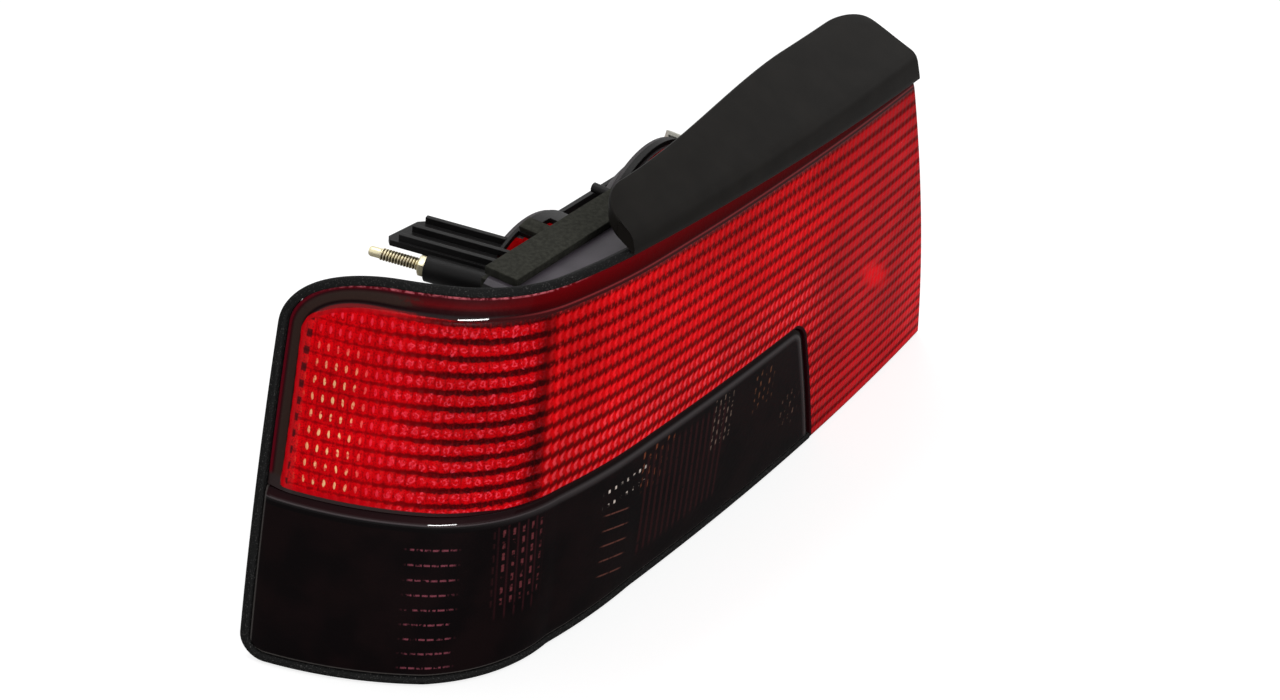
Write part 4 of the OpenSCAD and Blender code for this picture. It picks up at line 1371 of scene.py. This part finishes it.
@dataclass
class RimSeal:
    """The rubber edging: a section carried round the rim's outline.

    Attributes:
        face, parting: the lens face, and the line between the lenses.
        width, depth: size of the section.
        proud: how far its bead stands off the lens face.
        lip: depth behind the bead where the foot starts.
        root: how much narrower than the section the foot is.
        edge: how far the bead stays inside the outline.
        cover_top, cover_foot: s past which the red lens covers the section, above and at the foot.
        cover_depth: depth of the section there.
    """

    face: LensFace = field(default_factory=LensFace)
    parting: Parting = field(default_factory=Parting)
    width: float = 4.4
    depth: float = 6.0
    proud: float = 0.8
    lip: float = 1.4
    root: float = 1.4
    edge: float = 0.2
    cover_top: float = 429.0
    cover_foot: float = 366.4
    cover_depth: float = 3.2

    def path(self, inset: np.ndarray, count: int = 90) -> tuple[np.ndarray, np.ndarray]:
        """Outline moved inwards, as s and z for each inset, clockwise from the lower outer corner.

        Args:
            inset: one number for each ring.
            count: stations on each long edge.

        Returns:
            s and z, with one row for each inset.
        """
        face = self.face
        rings_s, rings_z = [], []
        for value in inset:
            r = max(1.0, face.foot_corner - value)
            foot = -face.foot + value
            out = value - face.start
            turn = np.radians(np.linspace(270.0, 180.0, 10))
            cs, cz = face.corner_centre
            arc = np.linspace(0.0, math.pi / 2, 30)
            side = np.linspace(foot + r, cz, 40)[1:-1]
            along = np.linspace(cs, face.length, 2 * count)[1:-1]
            end_z = np.linspace(face.top - value, foot, 50)
            hidden, shown = self.cover_foot + 0.8, self.cover_foot - 0.8
            inner = float(face.inner_end(foot, value))
            back = np.concatenate([np.linspace(inner, hidden, count // 2)[1:],
                                   np.linspace(shown, out + r, 2 * count)[:-1]])
            rings_s.append(np.concatenate([out + r * (1 + np.cos(turn)), np.full(len(side), out),
                                           cs - (face.corner[0] - value) * np.cos(arc), along[:-4],
                                           face.inner_end(end_z, value), back]))
            rings_z.append(np.concatenate([foot + r + r * np.sin(turn), side,
                                           cz + (face.corner[1] - value) * np.sin(arc),
                                           np.full(len(along) - 4, face.top - value), end_z,
                                           np.full(len(back), foot)]))
        return np.array(rings_s), np.array(rings_z)

    def make(self) -> bpy.types.Object:
        """Rounded bead in front, and a tapering foot behind it against the flange.

        Where the red lens runs to the rim's edge, the whole section lies behind the lens. The
        bead's depth is 1 - (1 + proud) sin(angle) to the power 0.7.

        Returns:
            The rim seal.
        """
        angle = np.linspace(0.0, math.pi, 13)
        half = (self.width - self.edge) / 2
        foot = self.width - self.root
        tail_inset = [self.edge, self.edge + 0.5, foot - 0.3, foot + 0.2, self.width - 0.2, self.width]
        tail_depth = [self.lip, self.lip + 1.0, self.depth - 0.9, self.depth, self.depth, self.depth - 0.3]
        inset = np.concatenate([self.edge + half * (1 + np.cos(angle)), tail_inset])
        depth = np.concatenate([1.0 - (1.0 + self.proud) * np.sin(angle) ** 0.7, tail_depth])
        s, z = self.path(inset)
        hidden = (s > self.cover_top) | ((z < self.parting.level) & (s > self.cover_foot))
        depth = np.where(hidden, np.maximum(depth[:, None], self.cover_depth), depth[:, None])
        seal = new_mesh("rim_seal_bead", self.face.point(s, z, depth),
                        quads(*s.shape, close_rows=True, close_cols=True))
        sharpen(seal, 50.0)
        return place(seal, Finish.RUBBER, "black_rubber", "rim_seal")


@dataclass
class UpperTrim:
    """The cover above the red lens: a hollow section carried along the curve.

    Attributes:
        crease: height of the edge between the front and the sloping top.
        start: where the outer end stands along the curve.
        wall: thickness.
        widths: width of the top at its outer and inner part.
        rise: slope of the top, in degrees.
        ends: lengths over which the outer and inner end draw in.
        narrow: width of the outer end's tip.
        proud: how far the front stands off the lens face.
        hem: depth of the back edge.
        drop: how far the front's foot falls from the outer to the inner end.
    """

    face: LensFace = field(default_factory=LensFace)
    crease: float = 30.0
    start: float = 164.0
    wall: float = 2.2
    widths: tuple[float, float] = (22.0, 34.5)
    rise: float = 28.0
    ends: tuple[float, float] = (20.0, 30.0)
    narrow: float = 7.0
    proud: float = 1.1
    hem: float = 9.0
    drop: float = 8.0

    @property
    def end(self) -> float:
        """Length along the curve of the trim's inner end."""
        return float(self.face.inner_end(self.crease, 0.0))

    def width(self, s: np.ndarray) -> np.ndarray:
        """Width of the top: a smooth ramp, drawn in at both ends as a circle is.

        Args:
            s: lengths along the curve.

        Returns:
            The widths.
        """
        w = self.widths[0] + (self.widths[1] - self.widths[0]) * smoothstep(s, 170.0, 350.0)
        a = np.clip((s - self.start) / self.ends[0], 0.0, 1.0)
        b = np.clip((self.end - s) / self.ends[1], 0.0, 1.0)
        drawn = np.sqrt(1 - (1 - a) ** 2) * (0.6 + 0.4 * np.sqrt(1 - (1 - b) ** 2))
        return self.narrow + (w - self.narrow) * drawn

    def section(self, s: np.ndarray) -> tuple[np.ndarray, np.ndarray, int]:
        """Outline of the section: outside from the front's foot to the back edge, then back inside.

        Args:
            s: lengths along the curve.

        Returns:
            Depth and height with one row for each corner, and how many corners lie outside.
        """
        w, t, crease, top = self.width(s), self.wall, self.crease, self.face.top
        k = math.tan(math.radians(self.rise))
        foot = top - 1 - self.drop * (s - self.start) / (self.end - self.start)
        back = crease + w * k
        front = -self.proud - t
        outer = [(front + 0.3, foot), (front, foot + 0.5), (front, foot + 3), (front + 0.3, crease - 6),
                 (front + 0.9, crease - 3), (-1.2, crease - 1.0), (0.4, crease + 0.3),
                 (2.4, crease + 2.4 * k), (w * 0.35, crease + w * 0.35 * k),
                 (w * 0.7, crease + w * 0.7 * k + 0.2), (w - 3.0, back - 3.0 * k + 0.1),
                 (w - 1.3, back - 0.9), (w - 0.3, back - 1.5), (w, back - 2.6), (w, back - 5.5),
                 (w, back - self.hem)]
        inner = [(w - t, back - self.hem), (w - t, back - 1.2 * t - 1),
                 (w * 0.6, crease + w * 0.6 * k - 1.2 * t), (1.2 + t, crease - t), (t - 0.6, crease - 5),
                 (front + t, top + 0.6), (front + t, foot)]
        rows = np.array([np.broadcast_arrays(depth, z, s)[:2] for depth, z in outer + inner])
        return rows[:, 0], rows[:, 1], len(outer)

    @staticmethod
    def zipped(ring: np.ndarray) -> np.ndarray:
        """Quads across a ring: its k-th and next points against those as far from its end."""
        near, far = ring[:len(ring) // 2], ring[::-1][:len(ring) // 2]
        return np.stack([near[:-1], far[:-1], far[1:], near[1:]], axis=-1)

    def make(self) -> bpy.types.Object:
        """Section carried along the curve, with stations closer at both ends, and closed there.

        Returns:
            The trim.
        """
        first, last = self.ends
        quarter = math.pi / 2
        s = np.concatenate([self.start + first * (1 - np.cos(np.linspace(0, quarter, 14))),
                            np.linspace(self.start + first + 2, self.end - last - 2, 110),
                            self.end - last + last * np.sin(np.linspace(0, quarter, 16))])
        depth, z, split = self.section(s)
        slant = math.tan(math.radians(self.face.slant))
        along = s + (self.crease - z) * slant * smoothstep(s, 310.0, 410.0)
        along[split:, 0] += self.wall
        n, m = depth.shape
        faces = quads(n, m, close_rows=True)
        index = np.arange(n) * m
        rings = (self.zipped(index[:split]), self.zipped(index[split:]),
                 index[[0, split - 1, split, n - 1]][None], self.zipped(index + m - 1)[:, ::-1])
        trim = new_mesh("upper_trim_cover", self.face.point(along, z, depth),
                        np.concatenate([faces[:, ::-1], *rings]))
        sharpen(trim, 40.0)
        return place(trim, Finish.TRIM, "satin_plastic", "upper_trim")


@dataclass
class Studs:
    """Three threaded studs with hexagon collars.

    Attributes:
        radius: outer radius of the thread.
        pitch: rise of the thread for each turn.
        length: reach of a stud past its collar's seat.
        plain: length of its plain end.
        root: how far it reaches back into its boss.
        groove: depth of the thread.
        relief: how much thinner the plain end is.
        bevel: length of the bevel at its tip.
        flats: width of the collar across its flats.
        collar: thickness of the collar.
        places: seats from the outer stud's seat.
    """

    radius: float = 3.0
    pitch: float = 1.5
    length: float = 26.0
    plain: float = 6.0
    root: float = 6.0
    groove: float = 0.6
    relief: float = 0.55
    bevel: float = 0.8
    flats: float = 10.0
    collar: float = 4.0
    places: tuple[tuple[float, float, float], ...] = ((0, 0, 0), (306, -73.6, -70), (212, -51, -150))

    @staticmethod
    def turned(r: np.ndarray, y: np.ndarray, turns: np.ndarray) -> np.ndarray:
        """Points round +Y: x is r cos, z is r sin of the turn."""
        return np.stack([r * np.cos(turns), np.broadcast_to(y[:, None], r.shape), r * np.sin(turns)], axis=-1)

    def thread(self) -> tuple[np.ndarray, np.ndarray, np.ndarray]:
        """Thread as one grid: radius falls by a triangle wave of y / pitch - angle / turn.

        Returns:
            Points round +Y in millimetres, quads, and how far each point lies in a groove.
        """
        steps, closed = 32, 0.01
        turns = np.linspace(0.0, 2 * math.pi, steps + 1)[:-1]
        end = self.length - self.plain
        y = np.concatenate([[-self.root], np.arange(0.0, end, self.pitch / 8),
                            np.linspace(end, self.length, 8)])
        phase = (y[:, None] / self.pitch - turns[None, :] / (2 * math.pi)) % 1.0
        threaded = (y < end)[:, None]
        groove = np.clip(np.abs(phase - 0.5) * 2.8 - 0.4, 0.0, 1.0) * np.clip(y, 0.0, 1.0)[:, None] * threaded
        r = np.where(threaded, self.radius - self.groove * groove, self.radius - self.relief)
        r = r - (self.bevel - np.clip(self.length - y, 0.0, self.bevel)[:, None]) * 0.6
        r[0, :] = closed
        r = np.concatenate([r, np.full((1, steps), closed)])
        groove = np.concatenate([groove, np.zeros((1, steps))])
        y = np.append(y, self.length)
        return self.turned(r, y, turns), quads(len(y), steps, close_cols=True), groove

    def hexagon(self) -> tuple[np.ndarray, np.ndarray, np.ndarray]:
        """Collar: a hexagon cut by a cone at each face, so its corners are chamfered.

        Returns:
            Points round +Y in millimetres, quads, and zeros, because no point lies in a groove.
        """
        steps, bore = 48, 2.9
        turns = np.linspace(0.0, 2 * math.pi, steps + 1)[:-1]
        hexagon = self.flats / 2 / np.cos((turns + math.pi / 6) % (math.pi / 3) - math.pi / 6)
        heights, cones = zip((-self.collar, 4.7), (-self.collar + 0.5, 5.45), (-self.collar + 0.9, 9.0),
                             (-0.9, 9.0), (-0.5, 5.45), (0.0, 4.7))
        inner = np.full((1, steps), bore)
        r = np.concatenate([inner, np.minimum(hexagon, np.array(cones)[:, None]), inner])
        y = np.array([heights[0], *heights, heights[-1]])
        faces = quads(len(y), steps, close_rows=True, close_cols=True)
        return self.turned(r, y, turns), faces, np.zeros(r.shape)

    def make(self) -> bpy.types.Object:
        """All three studs as one piece.

        Returns:
            The studs, which tell their material how deep each point lies in a groove.
        """
        points, faces, grooves, base = [], [], [], 0
        for seat in self.places:
            for part_points, part_faces, groove in (self.thread(), self.hexagon()):
                points.append((part_points.reshape(-1, 3) + np.array(seat)) * MM)
                faces.append(part_faces[:, ::-1] + base)
                grooves.append(groove.ravel())
                base += len(points[-1])
        studs = new_mesh("threaded_studs", np.concatenate(points), np.concatenate(faces))
        set_attribute(studs, "groove", np.concatenate(grooves))
        sharpen(studs, 30.0)
        return place(studs, Finish.ZINC, "zinc_steel", "mounting_studs")


@dataclass
class FoamSeal:
    """The foam strap, softened from the CAD solid.

    Attributes:
        soften: radius of its edges.
    """

    soften: float = 1.2

    def make(self, node: bpy.types.Object) -> bpy.types.Object:
        """Copy of the node with its corners merged and its edges rounded.

        Args:
            node: the CAD node, which stays as it is.

        Returns:
            The strap that stands for the node.
        """
        mesh = node.data.copy()
        mesh.name = "foam_strap"
        strap = bpy.data.objects.new("foam_strap", mesh)
        bpy.context.scene.collection.objects.link(strap)
        work = bmesh.new()
        work.from_mesh(mesh)
        bmesh.ops.remove_doubles(work, verts=work.verts, dist=1e-6)
        bmesh.ops.dissolve_limit(work, angle_limit=0.02, verts=work.verts, edges=work.edges)
        work.to_mesh(mesh)
        work.free()
        bevel = strap.modifiers.new("soft_edges", "BEVEL")
        bevel.width = self.soften * MM
        bevel.segments = 3
        bevel.limit_method = "ANGLE"
        bevel.angle_limit = math.radians(40.0)
        return place(strap, Finish.FOAM, "grey_foam", "foam_seal")


@dataclass(frozen=True)
class Faces:
    """Where each face of a mesh lies and how it is turned, in the back's own directions.

    Attributes:
        across, ahead, z: across the back, forwards and up, in millimetres.
        forwards, up: the normal's parts forwards and up.
    """

    across: np.ndarray
    ahead: np.ndarray
    z: np.ndarray
    forwards: np.ndarray
    up: np.ndarray

    def out(self, drum: tuple[float, float, float]) -> np.ndarray:
        """Distance of each face from a drum's axis."""
        return np.hypot(self.across - drum[0], self.z - drum[1])


@dataclass
class Housing:
    """The CAD housing and reflectors: black and grey, with red light inside the drums.

    Attributes:
        sweep: turn of the back from the row's directions, in degrees.
        drums: middle and radius of each drum, across the back and up, in millimetres.
        reach: the drums' rear and front, forwards from the back's line.
        wall: thickness of a drum's wall.
        panel: height over which faces that look up are the top panel, which gets a painted grey sheen.
    """

    sweep: float = 13.5
    drums: tuple[tuple[float, float, float], ...] = (
        (122.5, -38.0, 46.0), (226.5, -38.0, 46.0), (330.5, -38.0, 46.0),
        (118.0, -134.0, 36.0), (222.0, -134.0, 36.0), (362.0, -134.0, 36.0))
    reach: tuple[float, float] = (-58.5, -32.8)
    wall: float = 2.5
    panel: float = 10.0

    def faces(self, mesh: bpy.types.Mesh) -> Faces:
        """Places and turns of a mesh's faces.

        With x, y and z from the curve's start and a the sweep, the way across the back is
        x cos a - y sin a and the way forwards is x sin a + y cos a.

        Args:
            mesh: the mesh of a CAD node.

        Returns:
            The faces.
        """
        count = len(mesh.polygons)
        middle, normal = np.zeros(count * 3), np.zeros(count * 3)
        mesh.polygons.foreach_get("center", middle)
        mesh.polygons.foreach_get("normal", normal)
        x, y, z = (middle.reshape(-1, 3) / MM + STUD_SEAT).T
        nx, ny, nz = normal.reshape(-1, 3).T
        a = math.radians(self.sweep)
        return Faces(x * math.cos(a) - y * math.sin(a), x * math.sin(a) + y * math.cos(a), z,
                     nx * math.sin(a) + ny * math.cos(a), nz)

    def finish_housing(self, node: bpy.types.Object) -> None:
        """Black, with red light on the drums' inner walls and a painted grey sheen on the top panel.

        Args:
            node: the housing.
        """
        mesh = dress(node, Finish.HOUSING, Finish.RED_LIT, Finish.PAINTED_SHEEN).data
        at = self.faces(mesh)
        # Painted sheen: faces that look up on the top get the grey finish.
        panel = (at.up > 0.8) & (at.z > self.panel) & (at.ahead < self.reach[0] + 4)
        lit = np.zeros(len(at.z), dtype=bool)
        for drum in self.drums:
            lit |= at.out(drum) < drum[2] - self.wall + 0.6
        lit &= (at.ahead > self.reach[0]) & (at.ahead < self.reach[1])
        index = np.where(lit, 1, np.where(panel, 2, 0)).astype(np.int32)
        mesh.polygons.foreach_set("material_index", index)
        counts = np.bincount(index, minlength=3)
        LOG.info("housing: %d red-lit faces, %d panel faces", int(counts[1]), int(counts[2]))

    def finish_reflectors(self, node: bpy.types.Object) -> None:
        """Grey, with red light on the rearward faces and the spigots.

        Args:
            node: the reflector unit.
        """
        mesh = dress(node, Finish.GREY, Finish.RED_LIT).data
        at = self.faces(mesh)
        lit = np.zeros(len(at.z), dtype=bool)
        for drum in self.drums:
            lit |= (at.out(drum) < drum[2] - 1.0) & (at.forwards < -0.25)
            lit |= (at.out(drum) < drum[2] - self.wall - 0.4) & (at.ahead < self.reach[1])
        mesh.polygons.foreach_set("material_index", lit.astype(np.int32))
        LOG.info("reflector_unit: %d red-lit faces of %d", int(lit.sum()), len(lit))


@dataclass(frozen=True)
class StudioLamp:
    """One soft rectangular lamp.

    Attributes:
        name: its name.
        eye, target: where it stands and what it faces, in metres.
        size: width and height, in metres.
        power: watts.
    """

    name: str
    eye: tuple[float, float, float]
    target: tuple[float, float, float]
    size: tuple[float, float]
    power: float

    def make(self) -> None:
        """Puts the lamp into the scene, turned to its target."""
        data = bpy.data.lights.new(self.name, "AREA")
        data.shape = "RECTANGLE"
        data.size, data.size_y = self.size
        data.energy = self.power
        lamp = bpy.data.objects.new(self.name, data)
        turn = (Vector(self.target) - Vector(self.eye)).to_track_quat("-Z", "Y").to_matrix().to_4x4()
        lamp.matrix_world = Matrix.Translation(Vector(self.eye)) @ turn
        bpy.context.scene.collection.objects.link(lamp)


@dataclass
class PhotoView:
    """Camera, lamps, world and floor.

    Attributes:
        picture: width of the photo, in pixels.
        focal: focal length, in pixels of the photo.
        sensor: width of the sensor, in millimetres.
        pitch, roll, azimuth: the camera's angles, in degrees.
        eye: the camera's place from the start of the side curve, in millimetres.
        sky: the sky's heights and its strength at each.
        floor_tone, floor_glow: brightness of the floor's surface, and what it adds for the camera.
        floor_size: half the floor's width, in metres.
        lamps: the lamps.
    """

    picture: float = 1280.0
    focal: float = 2519.65
    sensor: float = 36.0
    pitch: float = 32.218
    roll: float = 6.662
    azimuth: float = 73.0
    eye: tuple[float, float, float] = (-862.17, -421.80, 593.43)
    sky: tuple[float, float, float, float] = (-0.2, 0.9, 0.2, 0.62)
    floor_tone: float = 0.44
    floor_glow: float = 0.76
    floor_size: float = 6.0
    lamps: tuple[StudioLamp, ...] = (
        StudioLamp("strip", (-1.22, -0.78, -0.01), (-0.06, -0.05, -0.03), (0.5, 0.045), 8.0),
        StudioLamp("key", (-0.5, -1.5, 1.4), (0.05, -0.08, -0.05), (0.9, 0.9), 6.0),
        StudioLamp("top", (0.3, 0.5, 1.6), (0.1, -0.08, 0.0), (1.2, 0.6), 8.0),
    )

    def camera(self) -> None:
        """Camera from its fitted focal length, angles and place.

        Its axis ahead comes from the azimuth and the pitch, and right and down are turned
        about it by the roll.
        """
        a, p, r = (math.radians(v) for v in (self.azimuth, self.pitch, self.roll))
        right = Vector((math.cos(a), -math.sin(a), 0.0))
        ahead = Vector((math.sin(a) * math.cos(p), math.cos(a) * math.cos(p), -math.sin(p)))
        down = Vector((-math.sin(a) * math.sin(p), -math.cos(a) * math.sin(p), -math.cos(p)))
        x_axis = right * math.cos(r) - down * math.sin(r)
        y_axis = -(right * math.sin(r) + down * math.cos(r))
        turn = Matrix((x_axis, y_axis, -ahead)).transposed()
        data = bpy.data.cameras.new("photo_camera")
        data.sensor_width = self.sensor
        data.sensor_fit = "HORIZONTAL"
        data.lens = self.focal / self.picture * self.sensor
        camera = bpy.data.objects.new("photo_camera", data)
        camera.matrix_world = Matrix.Translation(Vector(to_row(*self.eye))) @ turn.to_4x4()
        bpy.context.scene.collection.objects.link(camera)
        bpy.context.scene.camera = camera

    def world(self) -> None:
        """White behind the object, and for lighting a soft gradient, bright above."""
        world = bpy.data.worlds.new("studio")
        world.use_nodes = True
        g = Nodes(world.node_tree)
        path = g.node("ShaderNodeLightPath").outputs
        seen = g.math("MAXIMUM", path["Is Camera Ray"], path["Is Transmission Ray"])
        shown = g.math("MAXIMUM", seen, path["Is Glossy Ray"])
        up = g.split(g.node("ShaderNodeTexCoord").outputs["Generated"])[2]
        level = g.node("ShaderNodeMix")
        for place_in, value in ((0, shown), (2, g.ramp(up, *self.sky, smooth=False)), (3, 1.0)):
            g.feed(level.inputs[place_in], value)
        background = g.nodes["Background"]
        g.feed(background.inputs["Strength"], level.outputs[0])
        g.feed(background.inputs["Color"], WHITE)
        bpy.context.scene.world = world

    def floor(self, low: float) -> None:
        """White floor just under the lamp, which keeps its soft shadow.

        Args:
            low: the floor's height, in metres.
        """
        size, tone = self.floor_size, self.floor_tone
        corners = np.array([[-size, -size, low], [size, -size, low], [size, size, low], [-size, size, low]])
        floor = new_mesh("floor", corners, np.array([[0, 1, 2, 3]]), smooth=False)
        g = Graph("floor_white")
        seen = g.node("ShaderNodeLightPath").outputs["Is Camera Ray"]
        floor.data.materials.append(g.finish(
            Base_Color=(tone, tone, tone, 1.0),
            Roughness=0.9,
            Specular_IOR_Level=0.0,
            Emission_Color=WHITE,
            Emission_Strength=g.times(seen, self.floor_glow),
        ))
        floor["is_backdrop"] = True

    def make(self, low: float) -> None:
        """Everything round the object.

        Args:
            low: the floor's height, in metres.
        """
        bpy.context.scene.view_settings.view_transform = "Standard"
        self.camera()
        self.world()
        for lamp in self.lamps:
            lamp.make()
        self.floor(low)


LIGHTS = ("stop_tail", "stop", "tail", "indicator", "reverse", "fog")
NODE_FINISHES: dict[str, Finish] = {
    "side_reflector": Finish.CHROME,
    "trim_clips": Finish.NYLON,
    "reflector_clips": Finish.NYLON,
    "indicator_filter": Finish.AMBER,
    "reverse_optic": Finish.CLEAR,
    "bulb_carrier": Finish.CARRIER,
    "bulb_sockets": Finish.TIN,
    "earth_track": Finish.BRASS,
    **{f"{light}_track": Finish.BRASS for light in LIGHTS},
    **{f"{light}_bulb": Finish.GLASS for light in LIGHTS},
    "indicator_bulb": Finish.AMBER_GLASS,
}
FLOOR_GAP = 0.001


def main() -> None:
    logging.basicConfig(level=logging.INFO, format="%(name)s: %(message)s")
    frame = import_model()
    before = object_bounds()
    PhotoView().make(float(before[0][2]) - FLOOR_GAP)
    nodes = frame["nodes"]
    for name, finish in NODE_FINISHES.items():
        dress(nodes[name], finish)
        LOG.info("%s: %s", name, finish.name)
    housing = Housing()
    housing.finish_housing(nodes["housing"])
    housing.finish_reflectors(nodes["reflector_unit"])
    for piece in (RedLens(), SmokedLens(), RimSeal(), UpperTrim(), Studs()):
        piece.make()
    FoamSeal().make(nodes["foam_seal"])


if __name__ == "__main__":
    main()
